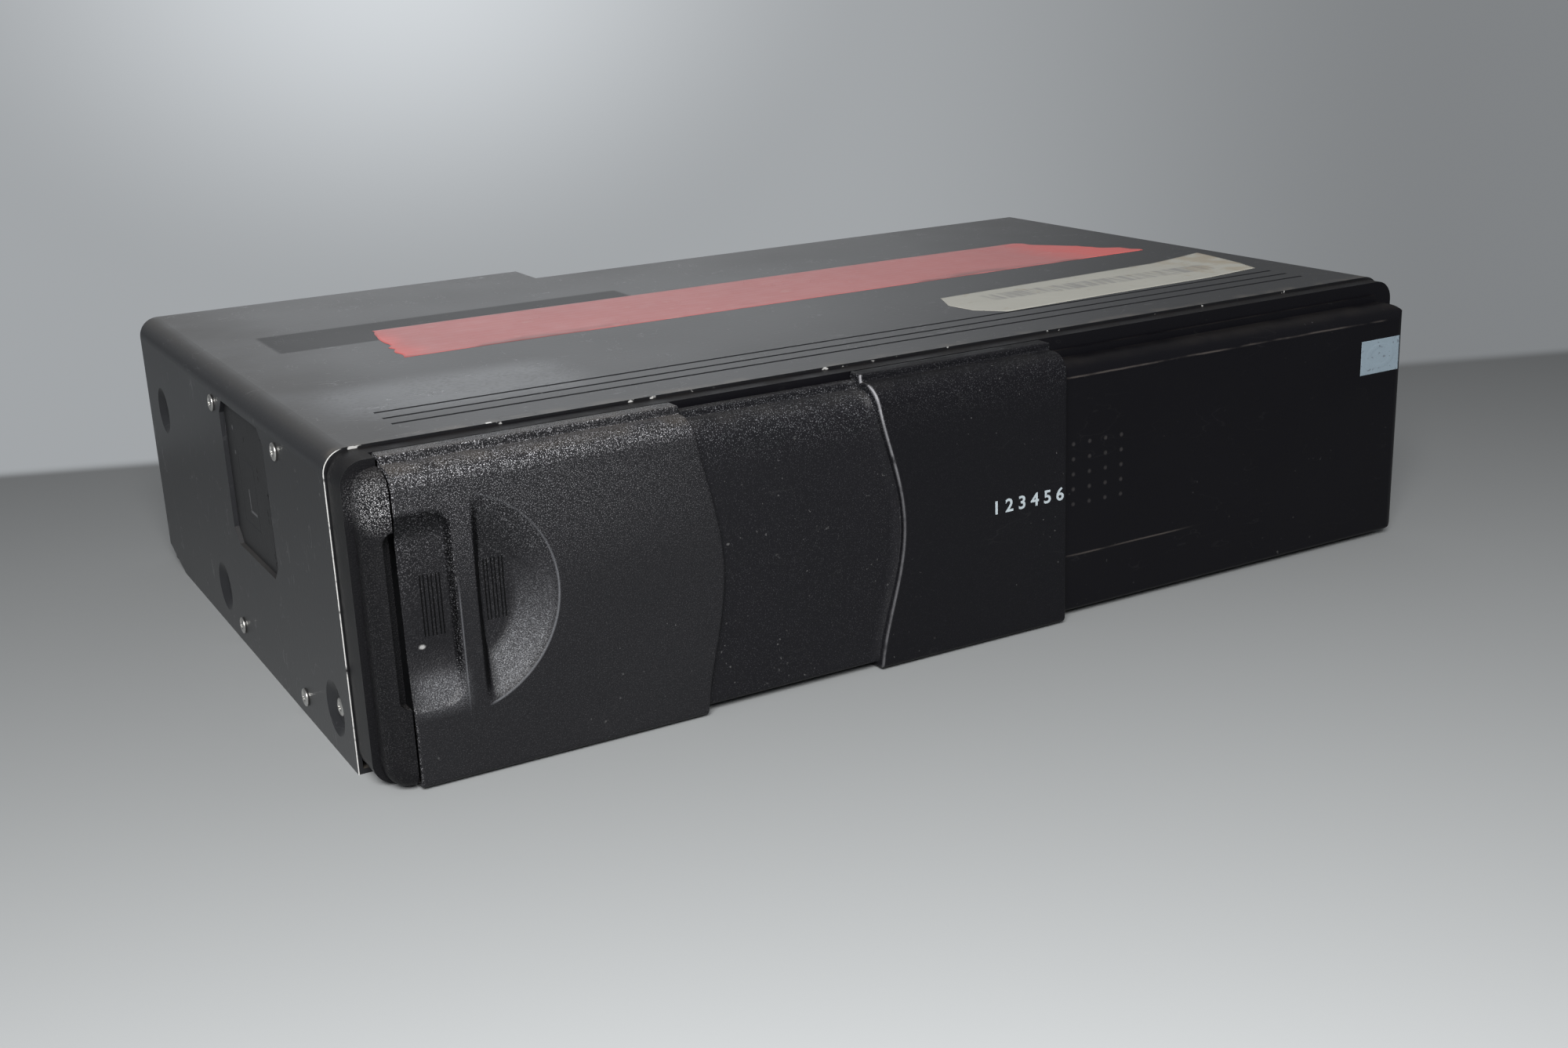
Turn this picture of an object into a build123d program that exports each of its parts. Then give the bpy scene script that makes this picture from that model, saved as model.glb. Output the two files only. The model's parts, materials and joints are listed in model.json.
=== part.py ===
from build123d import *
import math
import os

os.makedirs("parts", exist_ok=True)

# A six-disc changer for a car's boot: a flat steel case with a sliding two-piece front door,
# a removable magazine of trays on the left and a lifting playing deck on the right.
# X runs to the right along the front, Y from the front face to the back, Z up.
# The origin is the middle of the underside.

# ------------------------------------------------------------------ case (mm)
case_width = 255.0
case_height = 61.0
case_depth = 154.0            # metal case along its deeper left part
rear_step = 14.0              # the right part of the case is shorter by this
rear_step_from_left = 98.0
bezel_depth = 14.0            # plastic front, ahead of the metal case
sheet = 1.0                   # steel sheet
case_corner = 4.5             # rounded long edges of the cover

left = -case_width / 2
right = case_width / 2
overall_depth = bezel_depth + case_depth
face = -overall_depth / 2
front = face + bezel_depth    # front edge of the metal case
rear = overall_depth / 2
step_x = left + rear_step_from_left
step_rear = rear - rear_step
roof = case_height - sheet    # underside of the cover's top

# ------------------------------------------------------------------ clearances
slide_gap = 0.3               # between pieces that slide past one another
pin_gap = 0.05                # radial gap of a pin or shaft that turns in its hole
screw_gap = 0.1               # radial gap round a screw's shank

# ------------------------------------------------------------------ plastic front
flange_inset = 0.5            # the front stands in from the sheet's edge by this
flange_depth = 8.3            # rail behind the rounded nose
rail_depth = 4.3              # what is left of it behind the sliding doors
nose_drop = 1.5               # step from the rail down to the rounded nose
nose_radius = 4.0
toe_radius = 1.0
front_floor = 0.5             # height of the front's underside
door_wall = 1.15
door_lip = 0.6                # thickness of the doors' bottom flange
door_lip_depth = 5.0
level_step = door_wall + slide_gap
band_inset = level_step       # recessed band of the inner door
fixed_inset = 2 * level_step  # fixed face, under both doors
fixed_floor = front_floor + door_lip + slide_gap
front_wall = 1.8
column_width = 7.0            # left end of the front, up to the door
column_inset = 2.0            # the rounded ends stand in from the case's sides

door_left = left + column_width + 0.5
outer_door_wave = left + 64.9
band_left = left + 48.0
inner_door_wave = left + 104.3
inner_door_right = left + 151.0
outer_wave_bulge = 5.0
inner_wave_bulge = 6.1
wave_middle = 30.0
wave_reach = 33.0
door_contact_gap = 0.4
outer_door_travel = inner_door_wave - outer_door_wave - door_contact_gap
inner_door_travel = 95.0

opening_floor = 7.0
opening_roof = 53.0
web = 0.9                     # wall between the mouth and the button's well

grip_depth = 0.75             # finger grips pressed into the outer door
bar_grip_right = 17.3
bar_grip_floor = 14.8
bar_grip_roof = 51.6
bow_grip_left = 21.0
bow_grip_right = 36.1
bow_grip_floor = 14.8
bow_grip_roof = 51.7
scoop_floor = 16.0
scoop_roof = 48.5
scoop_width = 2.0
scoop_depth = 3.0

# ------------------------------------------------------------------ magazine and trays
magazine_width = 126.0
magazine_depth = 137.0
magazine_wall = 1.6
tray_count = 6
tray_pitch = 6.3
tray_thickness = 2.4
tray_rib = 1.2
disc_diameter = 120.0
disc_thickness = 1.2
disc_seat = 1.4               # depth of a tray's disc recess
eject_travel = 8.0
magazine_inset = 9.0          # from the case's left side
magazine_play = 0.9           # between the magazine and the mouth's right side

magazine_left = left + magazine_inset
magazine_right = magazine_left + magazine_width
opening_right = magazine_right + magazine_play    # mouth for the magazine
magazine_front = front - 1.0
magazine_back = magazine_front + magazine_depth
magazine_floor = 9.0
first_tray = magazine_floor + magazine_wall + 0.9
last_tray_top = first_tray + (tray_count - 1) * tray_pitch + tray_thickness
magazine_roof = last_tray_top + 2.0 + magazine_wall
magazine_split = first_tray + tray_count / 2 * tray_pitch - tray_rib

# ------------------------------------------------------------------ playing deck and its lift
deck_from_magazine = 12.0
deck_from_side = 10.0
spindle_from_front = 64.7
spindle_off_middle = 8.5
deck_left = magazine_right + deck_from_magazine
deck_right = right - deck_from_side
deck_middle = (deck_left + deck_right) / 2
spindle_x = deck_middle - spindle_off_middle
spindle_y = front + spindle_from_front
deck_width = 123.4            # front to back
deck_sheet = 1.2
deck_drop = 6.0               # from a disc's underside to the deck plate's underside
frame_sheet = 1.0
cam_sheet = 1.0
cam_travel = 30.0
pin_radius = 1.5
pin_to_left = 20.0            # the deck's pins, from its middle
pin_to_right = 16.0
pin_places = (deck_middle - pin_to_left, deck_middle + pin_to_right)

deck_lift = tray_pitch * (tray_count - 1)
disc_level = first_tray + tray_thickness - disc_seat
deck_floor = disc_level - deck_drop
deck_top = deck_floor + deck_sheet
deck_front = front + 3.0
deck_back = deck_front + deck_width
frame_front = deck_front - slide_gap - frame_sheet
frame_back = deck_back + slide_gap
cam_front_y = frame_front - slide_gap - cam_sheet
cam_back_y = frame_back + frame_sheet + slide_gap
pin_level = deck_floor + 3.6
frame_from_side = 6.3
frame_right = right - frame_from_side
bay_floor = magazine_floor - slide_gap    # top of the frame's floor under the magazine

# ------------------------------------------------------------------ holes in the case's sides
# Each place is (distance behind the case's front edge, height).
low_mount_place = (94.0, 9.6)
high_mount_behind = 137.0
high_mount_drop = 19.5        # below the cover's top
top_screw_drop = 7.0
high_mount_level = case_height - high_mount_drop
top_screw_level = case_height - top_screw_drop
mount_places_left = (low_mount_place, (high_mount_behind, high_mount_level))
mount_places_right = (low_mount_place, (high_mount_behind - rear_step, high_mount_level))
front_screw_place = (10.7, 9.4)
side_screw_places = ((32.3, top_screw_level), (82.0, top_screw_level), (31.7, 4.4), (80.0, 4.6))
dish_radius = 5.5
dish_depth = 1.4
dish_floor_radius = 3.5
mount_radius = 2.1            # core of an M5 thread
boss_radius = 6.5
boss_depth = 3.0
screw_radius = 1.3
head_radius = 1.8
head_height = 0.8
screw_length = 4.0
window_size = (34.5, 31.0)
window_behind = 59.2
window_drop = 20.5
window_place = (window_behind, case_height - window_drop)
window_corner = 3.0
clip_length = 15.0            # slanted lower rear corners of the sides
clip_height = 4.0
groove_places = (11.0, 16.0, 21.3)
groove_width = 1.0
groove_depth = 0.35
groove_left = 16.4
groove_right = 14.0


def side_places(places):
    """Places on a side as (Y, Z)."""
    return [(front + distance, height) for distance, height in places]


# ------------------------------------------------------------------ top cover
with BuildPart() as top_cover:
    with BuildSketch(Plane.XZ.offset(-front)) as cover_outside:
        with Locations((0, case_height / 2)):
            Rectangle(case_width, case_height)
        fillet(cover_outside.vertices().group_by(Axis.Y)[-1], case_corner)
    extrude(amount=-case_depth)
    with BuildSketch(Plane.XZ.offset(-front)) as cover_inside:
        with Locations((0, roof / 2)):
            Rectangle(case_width - 2 * sheet, roof)
        fillet(cover_inside.vertices().group_by(Axis.Y)[-1], case_corner - sheet)
    extrude(amount=-case_depth, mode=Mode.SUBTRACT)
    with BuildSketch():
        with Locations((step_x, step_rear)):
            Rectangle(case_width, case_depth, align=(Align.MIN, Align.MIN))
    extrude(amount=case_height, mode=Mode.SUBTRACT)
    for side_x, side_end in ((left, rear), (right, step_rear)):
        with BuildSketch(Plane.YZ.offset(side_x)):
            with BuildLine():
                Polyline((side_end, 0), (side_end, clip_height), (side_end - clip_length, 0), close=True)
            make_face()
        extrude(amount=sheet, both=True, mode=Mode.SUBTRACT)
    for side_x, inward, mount_places in ((left, 1, mount_places_left), (right, -1, mount_places_right)):
        mouth = Plane((side_x, 0, 0), x_dir=(0, inward, 0), z_dir=(inward, 0, 0))
        with BuildSketch(mouth.offset(sheet)):
            with Locations(*[(inward * y, z) for y, z in side_places((*mount_places, front_screw_place))]):
                Circle(boss_radius)
        extrude(amount=boss_depth)
        for y, z in side_places((*mount_places, front_screw_place)):
            with BuildSketch(mouth):
                with Locations((inward * y, z)):
                    Circle(dish_radius)
            with BuildSketch(mouth.offset(dish_depth)):
                with Locations((inward * y, z)):
                    Circle(dish_floor_radius)
            loft(mode=Mode.SUBTRACT)
        with BuildSketch(mouth):
            with Locations(*[(inward * y, z) for y, z in side_places(mount_places)]):
                Circle(mount_radius)
        extrude(amount=sheet + boss_depth, mode=Mode.SUBTRACT)
        with BuildSketch(mouth):
            with Locations(*[(inward * y, z) for y, z in side_places((front_screw_place,))]):
                Circle(screw_radius + screw_gap)
        extrude(amount=sheet + boss_depth, mode=Mode.SUBTRACT)
    with BuildSketch(Plane.YZ.offset(left)):
        with Locations(*side_places(side_screw_places)):
            Circle(screw_radius + screw_gap)
    extrude(amount=case_width, mode=Mode.SUBTRACT)
    with BuildSketch(Plane.YZ.offset(left)) as window:
        with Locations(*side_places((window_place,))):
            Rectangle(*window_size)
        chamfer(window.vertices(), window_corner)
    extrude(amount=case_width, mode=Mode.SUBTRACT)
    with BuildSketch(Plane.XY.offset(case_height)):
        with Locations(*[(left + groove_left, front + place) for place in groove_places]):
            Rectangle(case_width - groove_left - groove_right, groove_width, align=(Align.MIN, Align.CENTER))
    extrude(amount=-groove_depth, mode=Mode.SUBTRACT)
top_cover.part.label = "top_cover"
export_step(top_cover.part, "parts/top_cover.step")

# ------------------------------------------------------------------ bottom cover
board_left = left + 12.0
board_front = front + 20.0
board_size = (116.0, 104.0)
board_sheet = 1.6
standoff_height = 1.6
standoff_radius = 3.0
board_corner = 5.0            # from the board's edges to its screws
flange_height = 8.0
flange_front = front + 24.0
flange_length = 62.0

board_middle = (board_left + board_size[0] / 2, board_front + board_size[1] / 2)
standoff_spacing = (board_size[0] - 2 * board_corner, board_size[1] - 2 * board_corner)
board_floor = sheet + standoff_height
board_roof = board_floor + board_sheet

with BuildPart() as bottom_cover:
    with BuildSketch():
        with BuildLine():
            Polyline(
                (left + sheet, front),
                (left + sheet, rear - sheet),
                (step_x - sheet, rear - sheet),
                (step_x - sheet, step_rear - sheet),
                (right - sheet, step_rear - sheet),
                (right - sheet, front),
                close=True,
            )
        make_face()
    extrude(amount=sheet)
    with BuildSketch():
        for flange_x in (left + sheet, right - 2 * sheet):
            with Locations((flange_x, flange_front)):
                Rectangle(sheet, flange_length, align=(Align.MIN, Align.MIN))
    extrude(amount=flange_height)
    with BuildSketch(Plane.YZ.offset(left)):
        with Locations(*side_places(side_screw_places)):
            Circle(screw_radius + screw_gap)
    extrude(amount=case_width, mode=Mode.SUBTRACT)
    with BuildSketch(Plane.XY.offset(sheet)):
        with Locations(board_middle):
            with GridLocations(*standoff_spacing, 2, 2):
                Circle(standoff_radius)
                Circle(screw_radius, mode=Mode.SUBTRACT)
    extrude(amount=standoff_height)
bottom_cover.part.label = "bottom_cover"
export_step(bottom_cover.part, "parts/bottom_cover.step")

# ------------------------------------------------------------------ rear panel
socket_x = left + 156.0
socket_z = 30.0
socket_radius = 8.5
vent_count = 7
vent_pitch = 7.0
vent_size = (18.0, 2.4)

with BuildPart() as rear_panel:
    with BuildSketch():
        with BuildLine():
            Polyline(
                (left + sheet, rear),
                (step_x, rear),
                (step_x, step_rear),
                (right - sheet, step_rear),
                (right - sheet, step_rear - sheet),
                (step_x - sheet, step_rear - sheet),
                (step_x - sheet, rear - sheet),
                (left + sheet, rear - sheet),
                close=True,
            )
        make_face()
    extrude(amount=roof)
    with BuildSketch(Plane.XZ.offset(-step_rear)):
        with Locations((socket_x, socket_z)):
            Circle(socket_radius + slide_gap)
    extrude(amount=2 * sheet, mode=Mode.SUBTRACT)
    with BuildSketch(Plane.XZ.offset(-rear)):
        with Locations(((left + step_x) / 2, case_height / 2)):
            with GridLocations(vent_pitch, 0, vent_count, 1):
                SlotOverall(*vent_size, rotation=90)
    extrude(amount=2 * sheet, mode=Mode.SUBTRACT)
    extrude(cover_inside.sketch, amount=-case_depth, mode=Mode.INTERSECT)
rear_panel.part.label = "rear_panel"
export_step(rear_panel.part, "parts/rear_panel.step")


# ------------------------------------------------------------------ outlines of the front
def front_outline(inset, floor, back):
    """Side view of the front: rail, small step, rounded nose, flat face and underside."""
    rail_z = case_height - flange_inset - inset
    nose_z = rail_z - nose_drop
    step_y = front - flange_depth + inset
    face_y = face + inset
    with BuildLine() as outline:
        Polyline((back, rail_z), (step_y, rail_z), (step_y, nose_z), (face_y + nose_radius, nose_z))
        RadiusArc((face_y + nose_radius, nose_z), (face_y, nose_z - nose_radius), -nose_radius)
        Line((face_y, nose_z - nose_radius), (face_y, floor + toe_radius))
        RadiusArc((face_y, floor + toe_radius), (face_y + toe_radius, floor), -toe_radius)
        Polyline((face_y + toe_radius, floor), (back, floor), (back, rail_z))
    make_face(outline.edges())


def wave_points(start, bulge):
    """Points down a door's wavy edge: a squared cosine swell about the middle height."""
    points = []
    for step in range(9):
        height = wave_middle + wave_reach * (1 - step / 4)
        swell = math.cos(math.pi * (height - wave_middle) / (2 * wave_reach)) ** 2
        points.append((start + bulge * swell, height))
    return points


def beyond_wave(start, bulge, far):
    """Front view of all that lies between a wavy edge and a straight upright line."""
    points = wave_points(start, bulge)
    with BuildLine() as outline:
        Spline(*points)
        Polyline(points[-1], (far, points[-1][1]), (far, points[0][1]), points[0])
    make_face(outline.edges())


# ------------------------------------------------------------------ front bezel
button_left = opening_right + web
button_width = 4.0
button_floor = 17.0
button_height = 20.0
tab_length = 15.0
tab_sheet = 2.0
tab_height = 9.0
block_right = right - column_inset
end_radius = 3.0
fixed_roof = case_height - flange_inset - fixed_inset - nose_drop
well_right = block_right - 3.0
well_floor = 4.0
well_roof = 53.0

with BuildPart() as front_bezel:
    # Rail against the metal case.
    with BuildSketch(Plane.XZ.offset(-front)) as rail_outline:
        with Locations((0, case_height / 2)):
            Rectangle(case_width - 2 * flange_inset, case_height - 2 * flange_inset)
        fillet(rail_outline.vertices(), case_corner)
    extrude(amount=rail_depth)
    # Rounded column at the left end.
    with BuildSketch(Plane.XZ.offset(-front)) as column_flange:
        with Locations((left + flange_inset, case_height / 2)):
            Rectangle(
                column_width - flange_inset,
                case_height - 2 * flange_inset,
                align=(Align.MIN, Align.CENTER),
            )
        fillet(column_flange.vertices().group_by(Axis.X)[0], case_corner)
    extrude(amount=flange_depth)
    with BuildSketch(Plane.XZ.offset(-front)) as column_outline:
        with Locations((left + column_inset, front_floor)):
            Rectangle(
                column_width - column_inset,
                case_height - flange_inset - nose_drop - front_floor,
                align=(Align.MIN, Align.MIN),
            )
        fillet(column_outline.vertices().group_by(Axis.X)[0], case_corner)
    extrude(amount=bezel_depth)
    fillet(front_bezel.edges().group_by(Axis.Y)[0].group_by(Axis.X)[0], nose_radius - 0.2)
    # Fixed face and the rails that the doors slide on.
    with BuildSketch(Plane.YZ.offset(left + column_width)):
        front_outline(fixed_inset, fixed_floor, front)
    extrude(amount=block_right - left - column_width)
    # Rounded right end of the fixed face, in plan and at its two corners.
    with BuildSketch():
        with Locations((block_right, face)):
            Rectangle(end_radius, fixed_inset + end_radius, align=(Align.MAX, Align.MIN))
        with Locations((block_right - end_radius, face + fixed_inset + end_radius)):
            Circle(end_radius, mode=Mode.SUBTRACT)
    extrude(amount=case_height, mode=Mode.SUBTRACT)
    for corner_z, upward in ((fixed_floor, 1), (fixed_roof, -1)):
        with BuildSketch(Plane.XZ.offset(-front + rail_depth)):
            with Locations((block_right, corner_z)):
                Rectangle(2 * case_corner, 2 * case_corner)
            with Locations((block_right - case_corner, corner_z + upward * case_corner)):
                Circle(case_corner, mode=Mode.SUBTRACT)
                Rectangle(case_width, 2 * case_corner, align=(Align.MAX, Align.CENTER), mode=Mode.SUBTRACT)
                Rectangle(
                    2 * case_corner,
                    case_height,
                    align=(Align.CENTER, Align.MIN if upward > 0 else Align.MAX),
                    mode=Mode.SUBTRACT,
                )
        extrude(amount=bezel_depth, mode=Mode.SUBTRACT)
    # Mouth for the magazine.
    with BuildSketch(Plane.XZ.offset(-front)):
        with Locations((left + column_width, opening_floor)):
            Rectangle(
                opening_right - left - column_width,
                opening_roof - opening_floor,
                align=(Align.MIN, Align.MIN),
            )
    extrude(amount=bezel_depth, mode=Mode.SUBTRACT)
    # Hollow behind the fixed face.
    with BuildSketch(Plane.XZ.offset(-front)):
        with Locations((button_left, well_floor)):
            Rectangle(well_right - button_left, well_roof - well_floor, align=(Align.MIN, Align.MIN))
    extrude(amount=bezel_depth - fixed_inset - front_wall, mode=Mode.SUBTRACT)
    # Slot for the eject button.
    with BuildSketch(Plane.XZ.offset(-front)):
        with Locations((button_left, button_floor)):
            Rectangle(button_width + slide_gap, button_height, align=(Align.MIN, Align.MIN))
    extrude(amount=bezel_depth, mode=Mode.SUBTRACT)
    # Finger scoop in the column's right edge.
    with BuildSketch(Plane.XZ.offset(-face)):
        with Locations((left + column_width, (scoop_floor + scoop_roof) / 2)):
            SlotOverall(scoop_roof - scoop_floor, 2 * scoop_width, rotation=90)
    extrude(amount=-scoop_depth, mode=Mode.SUBTRACT)
    # Tabs that the front screws hold, just inside the cover's bosses.
    for tab_x in (left + sheet + boss_depth, right - sheet - boss_depth - tab_sheet):
        with BuildSketch(Plane.YZ.offset(tab_x)):
            with Locations((front - rail_depth, front_screw_place[1])):
                Rectangle(rail_depth + tab_length, tab_height, align=(Align.MIN, Align.CENTER))
            with Locations(*side_places((front_screw_place,))):
                Circle(screw_radius, mode=Mode.SUBTRACT)
        extrude(amount=tab_sheet)
front_bezel.part.label = "front_bezel"
export_step(front_bezel.part, "parts/front_bezel.step")

# ------------------------------------------------------------------ sliding doors
with BuildPart() as door_outer:
    with BuildSketch(Plane.YZ.offset(door_left)):
        front_outline(0, front_floor, front - rail_depth - slide_gap)
    extrude(amount=outer_door_wave + outer_wave_bulge - door_left)
    with BuildSketch(Plane.YZ.offset(door_left)):
        front_outline(door_wall, front_floor + door_lip, front)
    extrude(amount=case_width, mode=Mode.SUBTRACT)
    with Locations((door_left, face + nose_radius + door_lip_depth, 0)):
        Box(case_width, bezel_depth, case_height / 2, align=(Align.MIN, Align.MIN, Align.MIN), mode=Mode.SUBTRACT)
    with BuildSketch(Plane.XZ.offset(-front)):
        beyond_wave(outer_door_wave, outer_wave_bulge, right)
    extrude(amount=bezel_depth, mode=Mode.SUBTRACT)
    # Bar-shaped grip, open to the door's left edge.
    with BuildSketch(Plane.XZ.offset(-face)) as bar_grip:
        with Locations((door_left, bar_grip_floor)):
            Rectangle(
                left + bar_grip_right - door_left,
                bar_grip_roof - bar_grip_floor,
                align=(Align.MIN, Align.MIN),
            )
        fillet(bar_grip.vertices().group_by(Axis.X)[-1], 3.0)
    extrude(amount=-grip_depth, mode=Mode.SUBTRACT)
    # Bow-shaped grip: straight left side, swelling right side.
    with BuildSketch(Plane.XZ.offset(-face)):
        with BuildLine():
            Polyline(
                (left + bow_grip_left + 2.7, bow_grip_floor),
                (left + bow_grip_left, bow_grip_floor + 4.0),
                (left + bow_grip_left, bow_grip_roof - 4.0),
                (left + bow_grip_left + 3.4, bow_grip_roof),
            )
            ThreePointArc(
                (left + bow_grip_left + 3.4, bow_grip_roof),
                (left + bow_grip_right, (bow_grip_floor + bow_grip_roof) / 2),
                (left + bow_grip_left + 2.7, bow_grip_floor),
            )
        make_face()
    extrude(amount=-grip_depth, mode=Mode.SUBTRACT)
door_outer.part.label = "door_outer"
export_step(door_outer.part, "parts/door_outer.step")

with BuildPart() as door_inner:
    with BuildSketch(Plane.YZ.offset(inner_door_wave)):
        front_outline(0, front_floor, front - rail_depth - slide_gap)
    extrude(amount=inner_door_right - inner_door_wave)
    with BuildSketch(Plane.XZ.offset(-front)):
        beyond_wave(inner_door_wave, inner_wave_bulge, left)
    extrude(amount=bezel_depth, mode=Mode.SUBTRACT)
    # Recessed band that the outer door slides over.
    with BuildSketch(Plane.YZ.offset(band_left)):
        front_outline(band_inset, fixed_floor, front - rail_depth - band_inset)
    extrude(amount=inner_door_right - door_wall - band_left)
    # Inside of both parts.
    with BuildSketch(Plane.YZ.offset(band_left)):
        front_outline(band_inset + door_wall, front_floor + door_lip, front)
    extrude(amount=case_width, mode=Mode.SUBTRACT)
    with Locations((band_left, face + nose_radius + door_lip_depth, 0)):
        Box(case_width, bezel_depth, case_height / 2, align=(Align.MIN, Align.MIN, Align.MIN), mode=Mode.SUBTRACT)
door_inner.part.label = "door_inner"
export_step(door_inner.part, "parts/door_inner.step")

# ------------------------------------------------------------------ screws of the case
with BuildPart() as case_screws:
    for side_x, inward in ((left, 1), (right, -1)):
        seat = Plane((side_x, 0, 0), x_dir=(0, inward, 0), z_dir=(inward, 0, 0))
        for plane, places in ((seat, side_screw_places), (seat.offset(dish_depth), (front_screw_place,))):
            with BuildSketch(plane):
                with Locations(*[(inward * y, z) for y, z in side_places(places)]):
                    Circle(head_radius)
            extrude(amount=-head_height)
            with BuildSketch(plane):
                with Locations(*[(inward * y, z) for y, z in side_places(places)]):
                    Circle(screw_radius)
            extrude(amount=screw_length - sheet)
case_screws.part.label = "case_screws"
export_step(case_screws.part, "parts/case_screws.step")

# ------------------------------------------------------------------ angle plates and adjusters
plate_sheet = 1.6
plate_front = 27.3            # behind the case's front edge
plate_back = 87.0
plate_height = 33.8
plate_drop = 4.7              # below the cover's top
plate_roof = case_height - plate_drop
plate_floor = plate_roof - plate_height
slot_place = 44.6             # behind the case's front edge
slot_width = 4.0
slot_height = 28.8
slot_drop = 6.6
slot_roof = case_height - slot_drop
slot_floor = slot_roof - slot_height
bar_width = 3.4
bar_height = 11.4
bar_drop = 13.0
bar_middle = case_height - bar_drop
adjuster_travel = 16.0
keeper_width = 8.0
keeper_height = 15.0
keeper_sheet = 1.0
screw_hole_gap = screw_radius + screw_gap


def angle_plate(name, inner_x, outward):
    """Plastic plate behind a side's window, with the adjuster's upright slot."""
    plane = Plane((inner_x, 0, 0), x_dir=(0, -outward, 0), z_dir=(-outward, 0, 0))
    with BuildPart() as plate:
        with BuildSketch(plane):
            with Locations((-outward * (front + (plate_front + plate_back) / 2), (plate_floor + plate_roof) / 2)):
                Rectangle(plate_back - plate_front, plate_roof - plate_floor)
            with Locations((-outward * (front + slot_place), (slot_floor + slot_roof) / 2)):
                SlotOverall(slot_roof - slot_floor, slot_width, rotation=90, mode=Mode.SUBTRACT)
            with Locations(*[(-outward * y, z) for y, z in side_places(side_screw_places[:2])]):
                Circle(screw_hole_gap, mode=Mode.SUBTRACT)
        extrude(amount=plate_sheet)
    plate.part.label = name
    export_step(plate.part, f"parts/{name}.step")
    return plate.part


def angle_adjuster(name, inner_x, outward):
    """Bar that shows in the plate's slot, with a keeper behind the plate."""
    plane = Plane((inner_x, 0, 0), x_dir=(0, -outward, 0), z_dir=(-outward, 0, 0))
    with BuildPart() as adjuster:
        with BuildSketch(plane.offset(0.2 - sheet)):
            with Locations((-outward * (front + slot_place), bar_middle)):
                SlotOverall(bar_height, bar_width, rotation=90)
        extrude(amount=sheet - 0.2 + plate_sheet + slide_gap)
        with BuildSketch(plane.offset(plate_sheet + slide_gap)):
            with Locations((-outward * (front + slot_place), bar_middle)):
                Rectangle(keeper_width, keeper_height)
        extrude(amount=keeper_sheet)
    adjuster.part.label = name
    export_step(adjuster.part, f"parts/{name}.step")
    return adjuster.part


angle_plate_left = angle_plate("angle_plate_left", left + sheet, -1)
angle_plate_right = angle_plate("angle_plate_right", right - sheet, 1)
angle_adjuster_left = angle_adjuster("angle_adjuster_left", left + sheet, -1)
angle_adjuster_right = angle_adjuster("angle_adjuster_right", right - sheet, 1)

# ------------------------------------------------------------------ mechanism frame
shaft_off_middle = 9.0
shaft_drop = 5.5              # below the cover's underside
shaft_x = deck_middle + shaft_off_middle
shaft_level = roof - shaft_drop
shaft_radius = 1.25
wall_floor = 3.2              # underside of the frame's walls beside the deck
wall_drop = 3.0
wall_roof = roof - wall_drop
bay_margin = 1.4
bay_reach = 11.4
bay_left = magazine_left - bay_margin
bay_right = magazine_right + bay_reach
bay_back = magazine_back + 1.5
tongue_inset = 16.0
tongue_width = 70.0
tongue_left = magazine_left + tongue_inset
tongue_right = tongue_left + tongue_width
tongue_back = rear - 2.0
lift_wall_reach = 6.2
lift_wall_left = magazine_right + lift_wall_reach
guide_pin_radius = 1.2
low_guide_left = 18.0
low_guide_level = 6.2
high_guide_right = 6.0
high_guide_drop = 8.1         # below the lift's shaft
guide_pins = (
    (deck_middle - low_guide_left, low_guide_level),
    (deck_middle + high_guide_right, shaft_level - high_guide_drop),
)
lever_from_magazine = 9.2
lever_behind = 10.2
lever_x = magazine_right + lever_from_magazine
lever_y = front + lever_behind
lever_pin_radius = 1.0
side_strip = 14.0
guide_lip = 1.6
guide_lip_front = front + 30.0

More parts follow.
